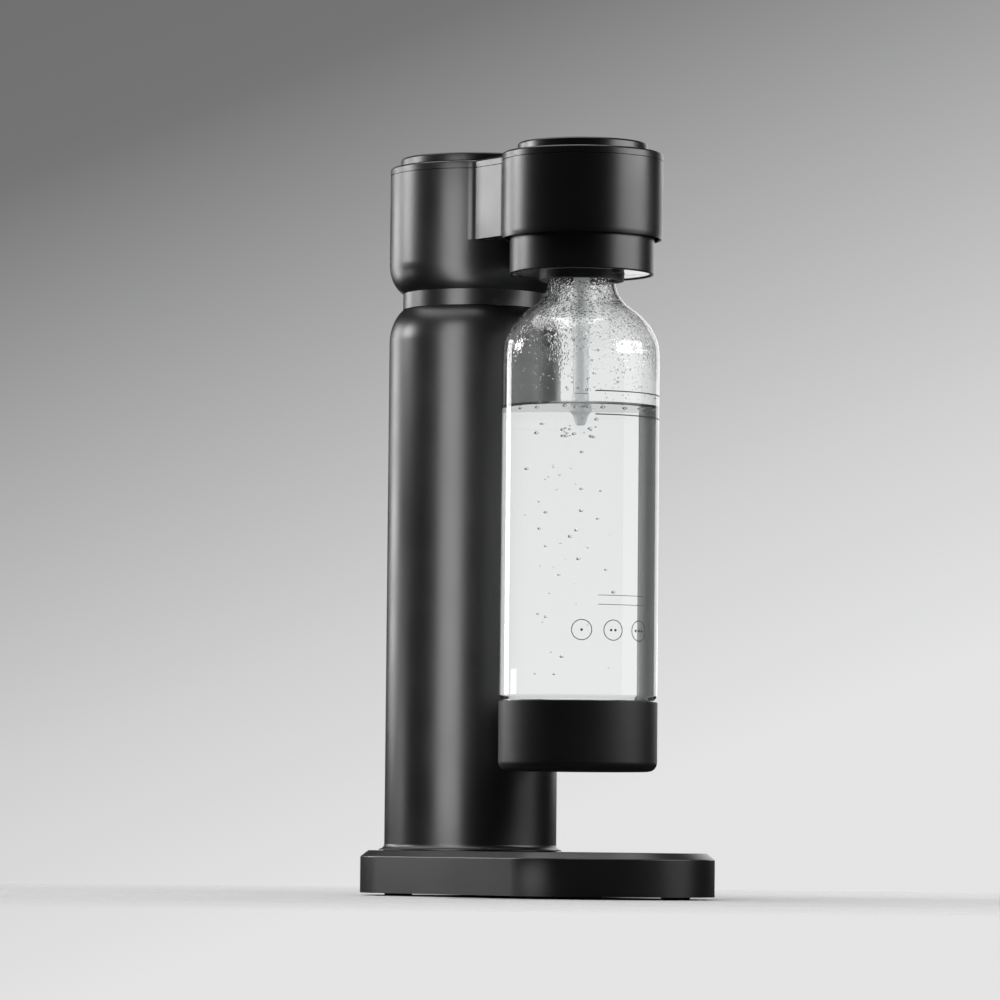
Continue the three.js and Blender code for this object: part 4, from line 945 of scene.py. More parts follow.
    def cover(self) -> None:
        """The flat cover over the whole head, with a round hole for the button."""
        bottom = self.seam + 0.3
        top = high("head_top_cover").z
        form = Form()
        self.outline(form, bottom)
        rounds = form.edges(self.on_round(self.rear, self.rear_r))
        rounds += form.edges(self.on_round(self.front, self.front_r))
        a_x = self.rear.x + self.rear_r * 0.55
        b_x = self.front.x - self.front_r * 0.5
        crossing = [e for e in rounds if all(a_x < v.co.x < b_x and abs(v.co.y) < self.arm_half + 6
                                             for v in e.verts)]
        inner = [e for e in crossing if self.is_inside(e)]
        bmesh.ops.delete(form.bm, geom=inner, context="EDGES")
        upper = form.lowered(list(form.bm.edges), Vector(), 1.0, top - bottom)
        bmesh.ops.contextual_create(form.bm, geom=upper)
        bmesh.ops.bevel(form.bm, geom=upper, offset=self.cover_edge, segments=5, profile=0.5,
                        affect="EDGES", material=-1)
        roof = max(form.bm.faces, key=lambda f: f.calc_area())
        bmesh.ops.delete(form.bm, geom=[roof], context="FACES_ONLY")
        hole_r = radius("button_cap") + self.button_gap
        hole = form.ring(self.front.x, 0, hole_r, top)
        form.fill(form.open_edges(top) + hole)
        form.lowered(form.edges(self.on_round(self.front, hole_r)), Vector(), 1.0, -self.button_well)
        cover = form.finish("head_top_cover_finished", self.body, wall=1.5, edge=0.25, crease=30.0)
        register(cover, "stand", Slot.BODY, "head_top_cover")

    def is_inside(self, edge: BMEdge) -> bool:
        """Whether an edge of a round lies under the arm rather than on the outline."""
        centre = (edge.verts[0].co + edge.verts[1].co) / 2
        near = self.rear if centre.x < (self.rear.x + self.front.x) / 2 else self.front
        r = self.rear_r if near is self.rear else self.front_r
        limit = math.atan2(self.arm_half + self.arm_cove, self.reach(r))
        towards = 1 if near is self.rear else -1
        return abs(math.atan2(centre.y, towards * (centre.x - near.x))) < limit

    def cap(self) -> None:
        """The round cap over the column, with a shadow gap below it."""
        top = high("rear_cap").z
        bottom = high("head_top_cover").z
        r = radius("rear_cap")
        profile = [(0, bottom - 3), (r - 2.2, bottom - 3), (r - 2.2, bottom + 0.8), (r, bottom + 0.8, 0.3),
                   (r, top, 1.3), (0, top)]
        cap = Form().lathe(profile, self.rear.x, steps=160).finish("rear_cap_finished", self.body)
        register(cap, "stand", Slot.BODY, "rear_cap")

    def button(self) -> None:
        """The push button: a shallow upturned cup, dished by a hair."""
        top, bottom = high("button_cap").z, low("button_cap").z
        r = radius("button_cap")
        profile = [(0, top - 0.35), (r * 0.5, top - 0.25), (r * 0.85, top - 0.05), (r, top, 1.3),
                   (r, bottom, 0.3), (r - 2, bottom, 0.3), (r - 2, top - 2, 0.5), (0, top - 2)]
        button = Form().lathe(profile, self.front.x, steps=160).finish("button_cap_finished", self.body)
        register(button, "button", Slot.BODY, "button_cap")


@dataclass
class ButtonSpring:
    """The coil spring under the button."""

    steel: bpy.types.Material
    wire: float = 0.6
    turns: int = 4
    steps: int = 36
    travel: float = 4.0

    def build(self) -> None:
        """Builds and places the spring."""
        bottom, top, at = low("button_spring").z, high("button_spring").z, middle("button_spring")
        coil = radius("button_spring") - self.wire
        form = Form()
        upright = Matrix.Rotation(math.pi / 2, 4, "X")
        start = Matrix.Translation((at.x + coil, 0, bottom + self.wire)) @ upright
        ring = bmesh.ops.create_circle(form.bm, cap_ends=False, segments=10, radius=self.wire, matrix=start)
        geom = ring["verts"] + list({e for v in ring["verts"] for e in v.link_edges})
        count = self.turns * self.steps
        rise = (top - bottom - 2 * self.wire) / count
        bmesh.ops.spin(form.bm, geom=geom, cent=(at.x, 0, 0), axis=UP, dvec=(0, 0, rise),
                       angle=2 * math.pi * self.turns, steps=count, use_merge=False)
        bmesh.ops.holes_fill(form.bm, edges=form.bm.edges, sides=0)
        spring = form.finish("button_spring_finished", self.steel)
        register(spring, "stand", Slot.STEEL, "button_spring")
        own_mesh(spring)


@dataclass
class Holder:
    """The tilting holder: ring, bright plate, neck collar, nozzle."""

    body: bpy.types.Material
    inner: bpy.types.Material
    plated: bpy.types.Material
    pale: bpy.types.Material
    wall: float = 2.0
    web: float = 1.5
    web_hole: float = 13.0

    def build(self) -> None:
        """Builds and places the pieces."""
        self.x = middle("neck_collar").x
        self.r = radius("holder_ring")
        self.bottom = low("holder_ring").z
        self.ring()
        self.plate()
        self.collar()
        self.nozzle()
        for end in ("front", "rear"):
            self.screw(f"plate_screw_{end}")

    def ring(self) -> None:
        """The ring, with the web inside it that carries the nozzle."""
        web_bottom = high("bottle_seal").z + 0.3
        web_top = web_bottom + self.web
        top = web_top + 3.5
        inner = self.r - self.wall
        profile = [(inner, self.bottom, 0.3), (self.r, self.bottom, 0.8), (self.r, top, 0.4),
                   (inner, top, 0.3), (inner, web_top, 0.4), (self.web_hole, web_top),
                   (self.web_hole, web_bottom), (inner, web_bottom, 0.6)]
        ring = Form().lathe(profile, self.x, closed=True, steps=160).finish("holder_ring_finished", self.body)
        register(ring, "holder", Slot.BODY, "holder_ring")

    def plate(self) -> None:
        """The bright flat plate under the ring, with a round hole for the collar."""
        bottom, top = low("holder_plate").z, high("holder_plate").z
        r, hole = radius("holder_plate"), radius("neck_collar") + 0.3
        profile = [(hole, bottom, 0.2), (r, bottom, 0.35), (r, top, 0.1), (hole, top, 0.2)]
        form = Form().lathe(profile, self.x, closed=True)
        plate = form.finish("holder_plate_finished", self.plated)
        register(plate, "holder", Slot.PLATED, "holder_plate")

    def screw(self, node: str) -> None:
        """A domed screw with a round socket.

        Args:
            node: the CAD screw that it stands for.
        """
        at, bottom, top = middle(node), low(node).z, high(node).z
        head = radius(node)
        form = Form().lathe(
            [(1.4, bottom + 1.1), (1.4, bottom + 0.1), (head - 0.9, bottom, 0.3), (head, bottom + 0.9, 0.3),
             (head, bottom + 1.8), (1.5, bottom + 1.8), (1.5, top - 0.7), (0.8, top), (0, top)],
            at.x, at.y, steps=36,
        )
        form.fill(form.edges(lambda p: abs(p.z - bottom - 1.1) < 0.01 and math.hypot(p.x - at.x, p.y) < 1.5))
        register(form.finish(f"{node}_finished", self.inner), "holder", Slot.PLATED, node)

    def collar(self) -> None:
        """The collar that the bottle's neck goes into, ribbed inside like a thread."""
        bottom, top = low("neck_collar").z, high("neck_collar").z
        r = radius("neck_collar")
        inner = 19.6
        thread = []
        z = top - 1.5
        while z > bottom + 3.5:
            thread += [(inner + 1.0, z, 0.2), (inner + 1.0, z - 1.3, 0.2), (inner, z - 1.9, 0.2),
                       (inner, z - 2.8, 0.2)]
            z -= 3.6
        profile = [(inner, bottom + 1.2, 0.3), (inner + 1.2, bottom, 0.3), (r, bottom, 0.7), (r, top, 0.4),
                   (inner, top, 0.3), *thread]
        form = Form().lathe(profile, self.x, closed=True, steps=96)
        collar = form.finish("neck_collar_finished", self.inner)
        register(collar, "holder", Slot.INNER, "neck_collar")

    def nozzle(self) -> None:
        """The pale tube and the pointed jet at its end."""
        top, foot = high("nozzle_tube").z, low("nozzle_tube").z
        r, bore = radius("nozzle_tube"), 2.2
        profile = [(bore, foot, 0.2), (r - 0.3, foot, 0.3), (r - 0.3, foot + 30), (r, foot + 34),
                   (r, top, 0.3), (bore, top, 0.2)]
        tube = Form().lathe(profile, self.x, closed=True, steps=64).finish("nozzle_tube_finished", self.pale)
        register(tube, "holder", Slot.NOZZLE, "nozzle_tube")
        bottom, top = low("nozzle_tip").z, high("nozzle_tip").z
        profile = [(0.7, bottom, 0.1), (1.8, bottom, 0.4), (3.4, bottom + 6, 0.8), (r, bottom + 7.5, 0.5),
                   (r, top, 0.3), (bore, top, 0.1), (bore, bottom + 8, 0.3), (0.7, bottom + 5)]
        tip = Form().lathe(profile, self.x, closed=True, steps=64).finish("nozzle_tip_finished", self.pale)
        register(tip, "holder", Slot.NOZZLE, "nozzle_tip")


class Mark(Enum):
    """Plain marks printed on the bottle, told apart by the number of dots in them."""

    ONE = 1
    TWO = 2
    THREE = 3


@dataclass
class Bottle:
    """The bottle with its cup, what it holds, and what is printed on it."""

    clear: bpy.types.Material
    water: bpy.types.Material
    gas: bpy.types.Material
    cup_finish: bpy.types.Material
    ink: bpy.types.Material
    facing: float
    wall: float = 0.7
    neck_wall: float = 1.6
    shoulder: float = 62.0
    neck: float = 17.0
    neck_r: float = 18.6
    water_level: float = 271.7
    overlap: float = 0.12
    foot_rise: float = 5.0

    def build(self) -> None:
        """Builds and places the pieces."""
        self.x = middle("bottle_cup").x
        self.r = radius("bottle")
        self.foot, self.mouth = low("bottle").z, high("bottle").z
        self.cup_top = high("bottle_cup").z
        self.waist = radius("bottle_cup") - 2.4
        self.shell()
        self.cup()
        self.contents()
        self.bubbles()
        self.droplets()
        self.fill_lines()
        self.marks()

    def side(self, inset: float, neck_inset: float) -> list[Corner]:
        """The shoulder from the straight side up to the neck, moved inwards.

        Args:
            inset: how far in at the straight side.
            neck_inset: how far in at the neck.

        Returns:
            (radius, height) points.
        """
        shape = [(0, 0), (0.2, 0.035), (0.4, 0.2), (0.555, 0.452), (0.69, 0.765), (0.84, 0.95), (1, 1)]
        start, end = self.mouth - self.shoulder, self.mouth - self.neck
        at = [Vector((self.r - inset + (self.neck_r - neck_inset - self.r + inset) * across,
                      start + (end - start) * rise, 0)) for rise, across in shape]
        points = []
        for i in range(len(at) - 1):
            before, after = at[max(i - 1, 0)], at[min(i + 2, len(at) - 1)]
            for k in range(6):
                t = k / 6
                p = 0.5 * (2 * at[i] + (at[i + 1] - before) * t
                           + (2 * before - 5 * at[i] + 4 * at[i + 1] - after) * t ** 2
                           + (3 * at[i] - before - 3 * at[i + 1] + after) * t ** 3)
                points.append((p.x, p.y))
        return [*points, (at[-1].x, at[-1].y)]

    def inside(self, inset: float) -> list[Corner]:
        """The inner side of the bottle, from the middle of its foot up to the shoulder's start."""
        waist, wall = self.waist - inset, inset
        foot = self.foot + wall
        return [(0, self.foot + self.foot_rise + wall), (16, self.foot + 4 + wall, 2), (26, foot, 2),
                (waist - 5, foot, 2), (waist, self.foot + 8 + wall, 3),
                (waist, self.cup_top + 0.6, 0.3), (self.r - inset, self.cup_top + 2.6, 0.8)]

    def shell(self) -> None:
        """The blown wall: dished foot, waist, straight side, shoulder, threaded neck."""
        top = self.mouth
        ridge = [(self.neck_r, top - 12.2), (19.0, top - 11.4, 0.25), (19.0, top - 9.6, 0.25),
                 (self.neck_r, top - 8.8)]
        lip = [(self.neck_r, top, 0.4), (self.neck_r - self.neck_wall, top, 0.4)]
        outside = [*self.inside(0.0), *self.side(0.0, 0.0), *ridge, *lip]
        inside = [*self.inside(self.wall), *self.side(self.wall, self.neck_wall)]
        form = Form().lathe([*outside, *reversed(inside)], self.x, steps=160)
        bottle = form.finish("bottle_finished", self.clear, crease=60.0)
        bottle.visible_shadow = False
        self.wall_tree = BVHTree.FromPolygons(
            [v.co / MM for v in bottle.data.vertices], [list(p.vertices) for p in bottle.data.polygons])
        register(bottle, "bottle", Slot.CLEAR, "bottle")

    def cup(self) -> None:
        """The dark cup on the bottle's foot."""
        bottom, top = low("bottle_cup").z, self.cup_top
        r, inner = radius("bottle_cup"), radius("bottle_cup") - 2.1
        profile = [(0, bottom + 0.6), (r - 12, bottom + 0.6, 0.5), (r - 11, bottom, 0.5), (r, bottom, 5.0),
                   (r, top, 0.5), (inner, top, 0.4), (inner, bottom + 5, 2.0), (inner - 3, bottom + 2.1, 1.0),
                   (0, bottom + 2.1)]
        cup = Form().lathe(profile, self.x, steps=160).finish("bottle_cup_finished", self.cup_finish)
        register(cup, "bottle", Slot.CUP, "bottle_cup")

    def contents(self) -> None:
        """The water, a little way into the wall, with its surface drawn up at the wall and the nozzle."""
        inset = self.wall - self.overlap
        level = self.water_level
        nozzle = radius("nozzle_tube")
        edge = self.r - inset
        surface = [(edge, level + 1.6), (edge - 0.5, level + 0.7), (edge - 1.4, level + 0.2),
                   (edge - 3.2, level), (nozzle + 3.2, level), (nozzle + 1.2, level + 0.3),
                   (nozzle + 0.2, level + 1.0), (0, level + 1.1)]
        form = Form().lathe([*self.inside(inset), *surface], self.x, steps=160)
        water = form.finish("water", self.water, crease=60.0)
        water.visible_shadow = False
        register(water, "bottle", Slot.CLEAR)

    def bubbles(self) -> None:
        """Gas bubbles: strings that rise beside the nozzle, and a few that float at the surface."""
        draw = random.Random(7)
        form = Form()
        for _ in range(46):
            z = draw.uniform(self.cup_top + 4, self.water_level - 6)
            spread = 8 + 20 * draw.random()
            angle = self.facing + draw.uniform(-2.4, 1.1)
            size = draw.choice((0.35, 0.45, 0.6, 0.8, 1.05))
            self.ball(form, spread, angle, z, size, draw.uniform(0.55, 0.85))
        for _ in range(26):
            angle = self.facing + draw.uniform(-1.9, 1.9)
            spread = self.r - self.wall - draw.uniform(1.6, 8)
            z = self.water_level - draw.uniform(0.8, 1.6)
            self.ball(form, spread, angle, z, draw.uniform(0.6, 1.5), 0.6)
        for _ in range(20):
            angle = draw.uniform(0, 2 * math.pi)
            spread = draw.uniform(5, 8)
            z = low("nozzle_tip").z + draw.uniform(-7, 6)
            self.ball(form, spread, angle, z, draw.uniform(0.4, 1.1), 0.8)
        bubbles = form.finish("bubbles", self.gas, crease=180.0, closed=False)
        bubbles.visible_shadow = False
        register(bubbles, "bottle", Slot.CLEAR)

    def ball(self, form: Form, out: float, angle: float, z: float, r: float, squash: float) -> None:
        """Adds a flattened ball.

        Args:
            form: what it is added to.
            out: its distance from the axis.
            angle: its direction from the axis.
            z: its height.
            r: its radius.
            squash: its height as a share of its width.
        """
        place = Matrix.Translation((self.x + out * math.cos(angle), out * math.sin(angle), z))
        shape = Matrix.Diagonal((1, 1, squash, 1))
        bmesh.ops.create_icosphere(form.bm, subdivisions=2, radius=r, matrix=place @ shape)

    def droplets(self) -> None:
        """Condensed drops on the inside of the wall above the water, more of them towards the neck."""
        draw = random.Random(11)
        form = Form()
        for _ in range(1500):
            share = draw.random() ** 1.5
            z = self.mouth - 20 - share * (self.mouth - 24 - self.water_level - 3)
            angle = draw.uniform(0, 2 * math.pi)
            out = Vector((math.cos(angle), math.sin(angle), 0))
            hit, normal, _, _ = self.wall_tree.ray_cast(Vector((self.x, 0, z)), out)
            if hit is None:
                continue
            size = draw.uniform(0.22, 0.42) + 0.5 * draw.random() ** 7
            slant = normal.to_track_quat("Z", "X").to_matrix().to_4x4()
            shape = Matrix.Diagonal((1, draw.uniform(1.0, 1.25), 0.55, 1))
            place = Matrix.Translation(hit + out * self.overlap) @ slant @ shape
            bmesh.ops.create_icosphere(form.bm, subdivisions=1, radius=size, matrix=place)
        drops = form.finish("droplets", self.water, crease=180.0, closed=False)
        drops.visible_shadow = False
        register(drops, "bottle", Slot.CLEAR)

    def fill_lines(self) -> None:
        """Two fine printed lines, one above and one below the water's surface."""
        form = Form()
        r = self.r + 0.03
        for z in (self.water_level + 7.2, self.water_level - 5.8):
            corners = [(r, z), (r, z + 0.6), (r - 0.12, z + 0.6), (r - 0.12, z)]
            geom = form.wire(corners, self.x, turn=self.facing + math.radians(10), closed=True)
            form.spin(geom, self.x, angle=math.radians(95), steps=48)
        lines = form.finish("fill_lines", self.ink)
        register(lines, "bottle", None)

    def marks(self) -> None:
        """Three plain outline marks in a row, and two fine rules above them."""
        form = Form()
        z = 147.5
        for mark, middle_u in ((Mark.ONE, 1.0), (Mark.TWO, 19.0), (Mark.THREE, 37.0)):
            self.outlined(form, mark, middle_u, z)
        for height in (166.5, 161.4):
            self.flat(form, 10.0, 41.0, height, height + 0.3)
        bmesh.ops.subdivide_edges(form.bm, edges=[e for e in form.bm.edges if e.calc_length() > 2.0], cuts=6)
        for vert in form.bm.verts:
            angle = self.facing + vert.co.x / self.r
            vert.co = Vector((self.x + (self.r + 0.05) * math.cos(angle), (self.r + 0.05) * math.sin(angle),
                              vert.co.z))
        marks = form.finish("bottle_marks", self.ink, wall=0.12, closed=True)
        register(marks, "bottle", None)

    def flat(self, form: Form, left: float, right: float, bottom: float, top: float) -> BMFace:
        """Draws a flat rectangle of ink, before it is wrapped round the bottle."""
        corners = ((left, bottom), (right, bottom), (right, top), (left, top))
        return form.bm.faces.new([form.bm.verts.new((u, 0, v)) for u, v in corners])

    def outlined(self, form: Form, mark: Mark, middle_u: float, middle_z: float) -> None:
        """Draws a mark: a round outline with a row of dots inside it.

        Args:
            form: what it is drawn in.
            mark: which mark.
            middle_u: its middle, round the bottle.
            middle_z: its middle height.
        """
        self.hollow(form, self.disc(form, middle_u, middle_z, 5.8), 0.42)
        for i in range(mark.value):
            self.disc(form, middle_u + 2.6 * (i - (mark.value - 1) / 2), middle_z, 0.7)

    def disc(self, form: Form, u: float, v: float, r: float) -> BMFace:
        """Draws a flat disc of ink, before it is wrapped round the bottle."""
        place = Matrix.Translation((u, 0, v)) @ Matrix.Rotation(math.pi / 2, 4, "X")
        made = bmesh.ops.create_circle(form.bm, cap_ends=True, segments=28, radius=r, matrix=place)
        return made["verts"][0].link_faces[0]

    def hollow(self, form: Form, face: BMFace, stroke: float) -> None:
        """Leaves only a stroke along the edge of a flat face."""
        bmesh.ops.inset_region(form.bm, faces=[face], thickness=stroke, use_even_offset=True,
                               use_boundary=True)
        bmesh.ops.delete(form.bm, geom=[face], context="FACES_ONLY")


@dataclass
class GasSupply:
    """The gas cylinder and its valve, smooth where the door lets them be seen."""

    paint: bpy.types.Material
    brass: bpy.types.Material

    def build(self) -> None:
        """Builds and places the pieces."""
        self.cylinder()
        self.valve()

    def cylinder(self) -> None:
        """The cylinder: rolled foot, straight side, domed top, short neck. It is open at the neck."""
        bottom, top = low("gas_cylinder").z, high("gas_cylinder").z
        x, r = middle("gas_cylinder").x, radius("gas_cylinder")
        neck, bore, wall, dome = 13.0, 8.0, 2.0, 25.0
        start = top - 7 - dome
        outside = arc(r, start, r - neck, dome, dome * 0.999)
        inside = arc(r - wall, start, r - wall - bore, dome - wall, (dome - wall) * 0.999)
        profile = [(0, bottom + 4), (14, bottom + 3.5, 1), (20, bottom, 1.5), (r - 6, bottom, 2),
                   (r, bottom + 7, 2), *outside, (neck, top, 0.6), (bore, top, 0.4), *reversed(inside),
                   (r - wall, bottom + 8, 1), (20, bottom + 6, 1), (0, bottom + 6)]
        form = Form().lathe(profile, x, steps=96)
        register(form.finish("gas_cylinder_finished", self.paint, crease=45.0), "cylinder", Slot.CYLINDER,
                 "gas_cylinder")

    def valve(self) -> None:
        """The valve: a hexagon below, a body above with thread-like rings, and its stem hole."""
        bottom, top = low("cylinder_valve").z, high("cylinder_valve").z
        x = middle("cylinder_valve").x
        form = Form()
        form.spin(form.wire([(0, bottom), (12.4, bottom), (12.4, bottom + 8, 0.4), (10.5, bottom + 8)], x),
                  x, steps=6)
        hexagon = form.merge()
        hexagon.fill(hexagon.open_edges(bottom + 8))
        rings: list[Corner] = []
        z = bottom + 9
        while z < top - 5:
            rings += [(10.9, z, 0.15), (10.9, z + 0.9, 0.15), (10.2, z + 1.2), (10.2, z + 1.6)]
            z += 2.0
        body = [(0, bottom + 7), (10.2, bottom + 7), *rings, (9.5, z + 0.4), (9.5, top, 0.5), (3, top, 0.3),
                (3, top - 6), (0, top - 6)]
        hexagon.lathe(body, x, steps=64)
        register(hexagon.finish("cylinder_valve_finished", self.brass), "cylinder", Slot.BRASS,
                 "cylinder_valve")


# ---- Studio ---------------------------------------------------------------------------------------
@dataclass
class Camera:
    """The camera, placed by its direction from the machine and its height."""

    azimuth: float = 54.31
    pitch: float = 3.448
    roll: float = 0.55
    distance: float = 3.2000
    height: float = 0.030
    aside: float = -0.0214
    lens: float = 205.2

    def axes(self) -> tuple[Vector, Vector]:
        """The level directions towards the camera and to its right."""
        a = math.radians(self.azimuth)
        return Vector((math.sin(a), -math.cos(a), 0)), Vector((math.cos(a), math.sin(a), 0))

    def build(self) -> bpy.types.Object:
        """Adds the camera and makes it the scene's."""
        towards, right = self.axes()
        pitch, roll = math.radians(self.pitch), math.radians(self.roll)
        forward = -towards * math.cos(pitch) + UP * math.sin(pitch)
        up = right.cross(forward)
        x = right * math.cos(roll) + up * math.sin(roll)
        y = up * math.cos(roll) - right * math.sin(roll)
        data = bpy.data.cameras.new("camera")
        data.lens = self.lens
        data.sensor_width = 36.0
        data.clip_end = 100.0
        camera = bpy.data.objects.new("camera", data)
        place = Matrix((x, y, -forward)).transposed().to_4x4()
        place.translation = right * self.aside + towards * self.distance + UP * self.height
        camera.matrix_world = place
        bpy.context.scene.collection.objects.link(camera)
        bpy.context.scene.camera = camera
        return camera


@dataclass
class Studio:
    """Pale floor, pale surroundings and soft boxes, all placed by their angle from the camera."""

    camera: Camera

    def build(self) -> None:
        """Adds the floor, the surroundings and the lights."""
        bpy.context.scene.view_settings.view_transform = "Standard"
        self.floor()
        self.surroundings()
        column = middle("column_tube") * MM
        self.box("left_rim", -131, 1.1, 0.38, 0.34, 0.52, 3.3)
        self.box("low_left", -108, 1.1, 0.08, 0.30, 0.16, 0.55)
        self.box("head_left", -105, 1.1, 0.59, 0.34, 0.26, 4.6)
        self.box("near_key", -26, 0.20, 0.225, 0.10, 0.42, 0.95, about=column)
        self.card((-0.028, 0.125), (-0.012, 0.187), about=column)
        self.box("right_side", 80, 1.3, 0.20, 0.75, 0.5, 1.4)
        self.box("head_right", 75, 1.2, 0.60, 1.05, 0.28, 9.0)
        self.box("rear_fill", 158, 1.6, 0.55, 0.9, 0.9, 4.0)
        self.box("low_back", 180, 2.2, 0.13, 1.0, 0.22, 0.75)
        self.overhead()

    def floor(self) -> None:
        """A pale round floor whose rim fades into the surroundings."""
        bench = Bench("floor")
        flat = bench.add("ShaderNodeVectorMath", Vector=bench.place)
        flat.operation = "LENGTH"
        bench.drive("Base Color", bench.tint(bench.noise(14.0, 4.0), (0.66, 0.66, 0.66), (0.69, 0.69, 0.69)))
        bench.drive("Roughness", bench.spread(bench.noise(60.0), 0.6, 0.75))
        bench.drive("Alpha", bench.spread(flat.outputs["Value"], 1.0, 0.0, 0.30, 0.75))
        bench.fix(Specular_IOR_Level=0.04)
        form = Form()
        form.fill(form.ring(0, 0, 760, 0, 128))
        floor = form.finish("floor", bench.material, closed=False)
        floor.visible_glossy = False

    def surroundings(self) -> None:
        """Pale surroundings, darker above, that the eye and clear things see. Gloss sees mostly black."""
        world = bpy.data.worlds.new("surroundings")
        bpy.context.scene.world = world
        world.use_nodes = True
        tree = world.node_tree
        tree.nodes.clear()
        make = tree.nodes.new
        link = tree.links.new
        direction = make("ShaderNodeTexCoord").outputs["Generated"]
        split = make("ShaderNodeSeparateXYZ")
        link(direction, split.inputs[0])
        across = make("ShaderNodeVectorMath")
        across.operation = "DOT_PRODUCT"
        link(direction, across.inputs[0])
        across.inputs[1].default_value = self.camera.axes()[1]
        lean = make("ShaderNodeMapRange")
        link(across.outputs["Value"], lean.inputs["Value"])
        for name, value in (("From Min", -0.09), ("From Max", 0.09), ("To Min", 0.036), ("To Max", -0.036)):
            lean.inputs[name].default_value = value
        level = make("ShaderNodeMath")
        link(split.outputs["Z"], level.inputs[0])
        link(lean.outputs["Result"], level.inputs[1])
        sky = make("ShaderNodeValToRGB")
        link(level.outputs["Value"], sky.inputs["Fac"])
        stops = sky.color_ramp.elements
        stops[0].position, stops[0].color = 0.0, (0.78, 0.78, 0.78, 1)
        stops[1].position, stops[1].color = 0.3, (0.12, 0.12, 0.123, 1)
        for position, grey in ((0.043, 0.645), (0.15, 0.175)):
            stops.new(position).color = (grey, grey, grey * 1.01, 1)
        through = make("ShaderNodeValToRGB")
        link(split.outputs["Z"], through.inputs["Fac"])
        stops = through.color_ramp.elements
        stops[0].position, stops[0].color = 0.03, (0.92, 0.92, 0.92, 1)
        stops[1].position, stops[1].color = 0.2, (0.76, 0.76, 0.76, 1)
        path = make("ShaderNodeLightPath")
        straight = make("ShaderNodeMath")
        straight.operation = "MULTIPLY_ADD"
        straight.use_clamp = True
        link(path.outputs["Glossy Depth"], straight.inputs[0])
        straight.inputs[1].default_value = -0.3
        link(path.outputs["Is Transmission Ray"], straight.inputs[2])
        clear = self.choice(tree, straight.outputs["Value"], through.outputs["Color"])
        seen = self.choice(tree, path.outputs["Is Camera Ray"], sky.outputs["Color"], clear)
        background = make("ShaderNodeBackground")
        link(seen, background.inputs["Color"])
        link(background.outputs[0], make("ShaderNodeOutputWorld").inputs["Surface"])

    def choice(self, tree: bpy.types.NodeTree, when: Socket, then: Socket,
               otherwise: Optional[Socket] = None) -> Socket:
        """One colour where a value is 1, and another, or a dark grey, where it is 0.

        Args:
            tree: where the node goes.
            when: the value.
            then: the colour for 1.
            otherwise: the colour for 0.

        Returns:
            The colour.
        """
        node = tree.nodes.new("ShaderNodeMix")
        node.data_type = "RGBA"
        tree.links.new(when, node.inputs["Factor"])
        first, second = [socket for socket in node.inputs if socket.type == "RGBA"]
        first.default_value = (0.02, 0.02, 0.02, 1)
        if otherwise is not None:
            tree.links.new(otherwise, first)
        tree.links.new(then, second)
        return next(socket for socket in node.outputs if socket.type == "RGBA")

    def box(self, name: str, angle: float, distance: float, height: float, width: float, tall: float,
            power: float, about: Vector = Vector()) -> None:
        """Adds an upright soft box that faces the machine, and that only glossy surfaces answer to.

        Args:
            name: the light's name.
            angle: degrees from the camera's direction, to the right if positive.
            distance: metres from the point that it turns about.
            height: of its middle.
            width: of the box.
            tall: its height.
            power: in watts.
            about: the point that it turns about.
        """
        towards, right = self.camera.axes()
        turn = math.radians(angle)
        out = towards * math.cos(turn) + right * math.sin(turn)
        data = bpy.data.lights.new(name, "AREA")
        data.shape = "RECTANGLE"
        data.size, data.size_y = width, tall
        data.energy = power
        light = bpy.data.objects.new(name, data)
        light.location = Vector((about.x, about.y, height)) + out * distance
        light.rotation_euler = (-out).to_track_quat("-Z", "Y").to_euler()
        light.visible_camera = False
        light.visible_transmission = False
        light.visible_diffuse = False
        bpy.context.scene.collection.objects.link(light)
        log.info("light %s", name)

    def card(self, start: Sequence[float], end: Sequence[float], about: Vector) -> None:
        """Adds a narrow dark card that keeps the near light off the front of the head.

        Args:
            start: one end, as metres to the right and metres towards the camera.
            end: the other end.
            about: the point that they are measured from.
        """
        towards, right = self.camera.axes()
        form = Form()
        feet = [Vector((about.x, about.y, 0)) + right * u + towards * v for u, v in (start, end)]
        corners = [foot + UP * z for foot, z in zip((*feet, *reversed(feet)), (0.02, 0.02, 0.46, 0.46))]
        form.bm.faces.new([form.bm.verts.new(corner / MM) for corner in corners])
        card = form.finish("card", Rubber("card_black").make(), closed=False)
        card.visible_camera = False
        card.visible_transmission = False
        card.visible_diffuse = False

    def overhead(self) -> None:
        """Adds a broad soft light from above."""
        data = bpy.data.lights.new("overhead", "SUN")
        data.energy = 3.0
        data.angle = math.radians(70)
        light = bpy.data.objects.new("overhead", data)
        light.rotation_euler = (math.radians(8), math.radians(-10), 0)
        bpy.context.scene.collection.objects.link(light)


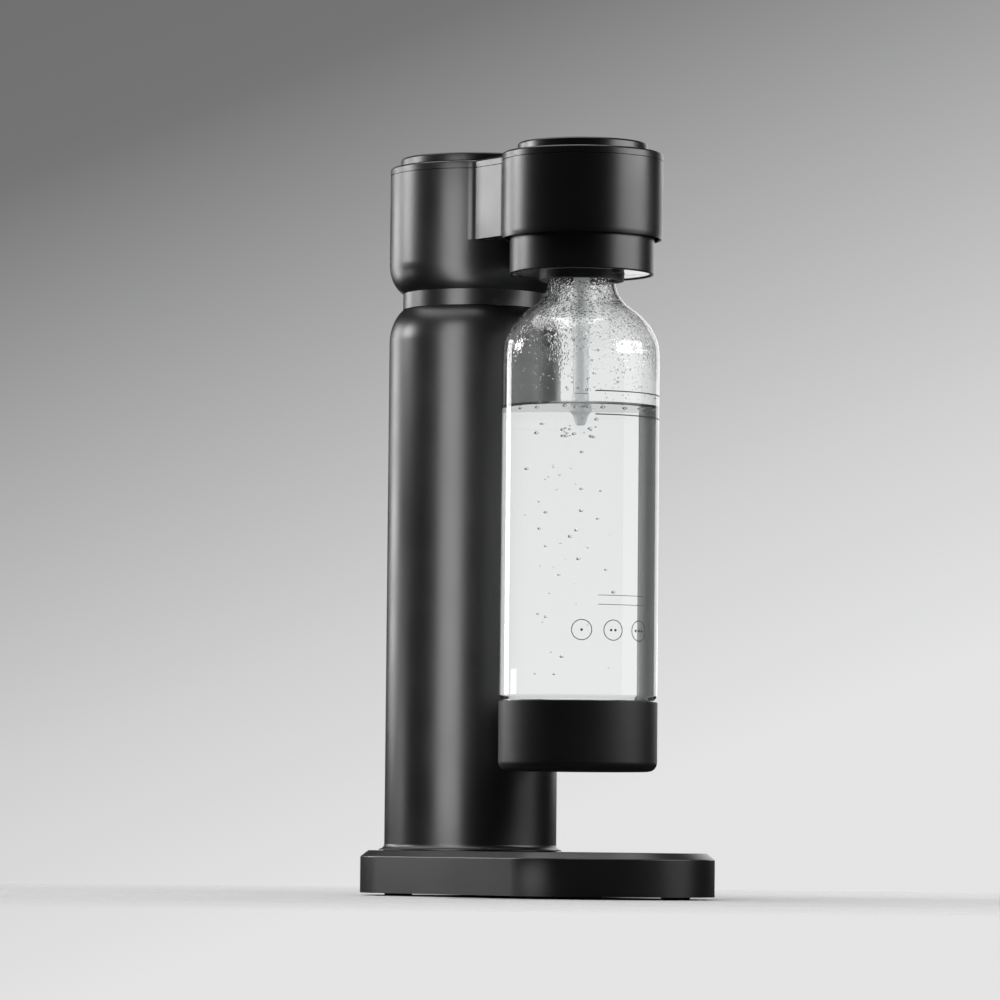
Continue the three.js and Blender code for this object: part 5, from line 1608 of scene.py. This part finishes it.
# ---- Everything together --------------------------------------------------------------------------
def dress_frame(finishes: dict[Slot, bpy.types.Material]) -> None:
    """Gives every CAD node that stays its finish, by the record's slot for it.

    Args:
        finishes: the material for each slot.
    """
    for part in frame["record"]["subparts"]:
        mesh = frame["nodes"][part["node"]].data
        mesh.materials.clear()
        mesh.materials.append(finishes[Slot(part["material_slot"])])


def main() -> None:
    """Builds the machine and its studio."""
    logging.basicConfig(level=logging.INFO, format="%(message)s")
    camera = Camera()
    camera.build()
    Studio(camera).build()
    towards, _ = camera.axes()
    facing = math.atan2(towards.y, towards.x)
    mouth = high("bottle").z * MM
    finishes = {
        Slot.BODY: SatinMoulding("satin_black").make(),
        Slot.CUP: SatinMoulding("cup_black", (0.010, 0.010, 0.0105), 0.46, 0.03, 6e-6, 2400.0).make(),
        Slot.INNER: SatinMoulding("inner_plastic", (0.018, 0.018, 0.019), 0.5, 0.04, 6e-6, 1800.0).make(),
        Slot.STEEL: Metal("steel", (0.56, 0.57, 0.58), 0.3, (1.0, 1.0, 0.05)).make(),
        Slot.PLATED: Metal("plated_steel", (0.78, 0.79, 0.80), 0.14, (1.0, 1.0, 1.0), 1e-6).make(),
        Slot.BRASS: Metal("brass", (0.60, 0.43, 0.19), 0.26, (1.0, 1.0, 0.1)).make(),
        Slot.ZINC: CastMetal("cast_zinc").make(),
        Slot.RUBBER: Rubber("rubber").make(),
        Slot.CYLINDER: PowderCoat("cylinder_paint").make(),
        Slot.CLEAR: BlownPlastic("bottle_clear", mouth - 0.075, mouth - 0.035).make(),
        Slot.NOZZLE: PalePlastic("nozzle_pale").make(),
    }
    water = Liquid("water", 1.33).make()
    gas = Liquid("bubble_gas", 0.75, (1.0, 1.0, 1.0), 0.0).make()
    ink = Ink("ink").make()
    dress_frame(finishes)
    Base(finishes[Slot.BODY], finishes[Slot.INNER], finishes[Slot.RUBBER]).build()
    Column(finishes[Slot.BODY]).build()
    GasSupply(finishes[Slot.CYLINDER], finishes[Slot.BRASS]).build()
    Head(finishes[Slot.BODY]).build()
    ButtonSpring(finishes[Slot.STEEL]).build()
    Holder(finishes[Slot.BODY], finishes[Slot.INNER], finishes[Slot.PLATED], finishes[Slot.NOZZLE]).build()
    Bottle(finishes[Slot.CLEAR], water, gas, finishes[Slot.CUP], ink, facing).build()


if __name__ == "__main__":
    main()
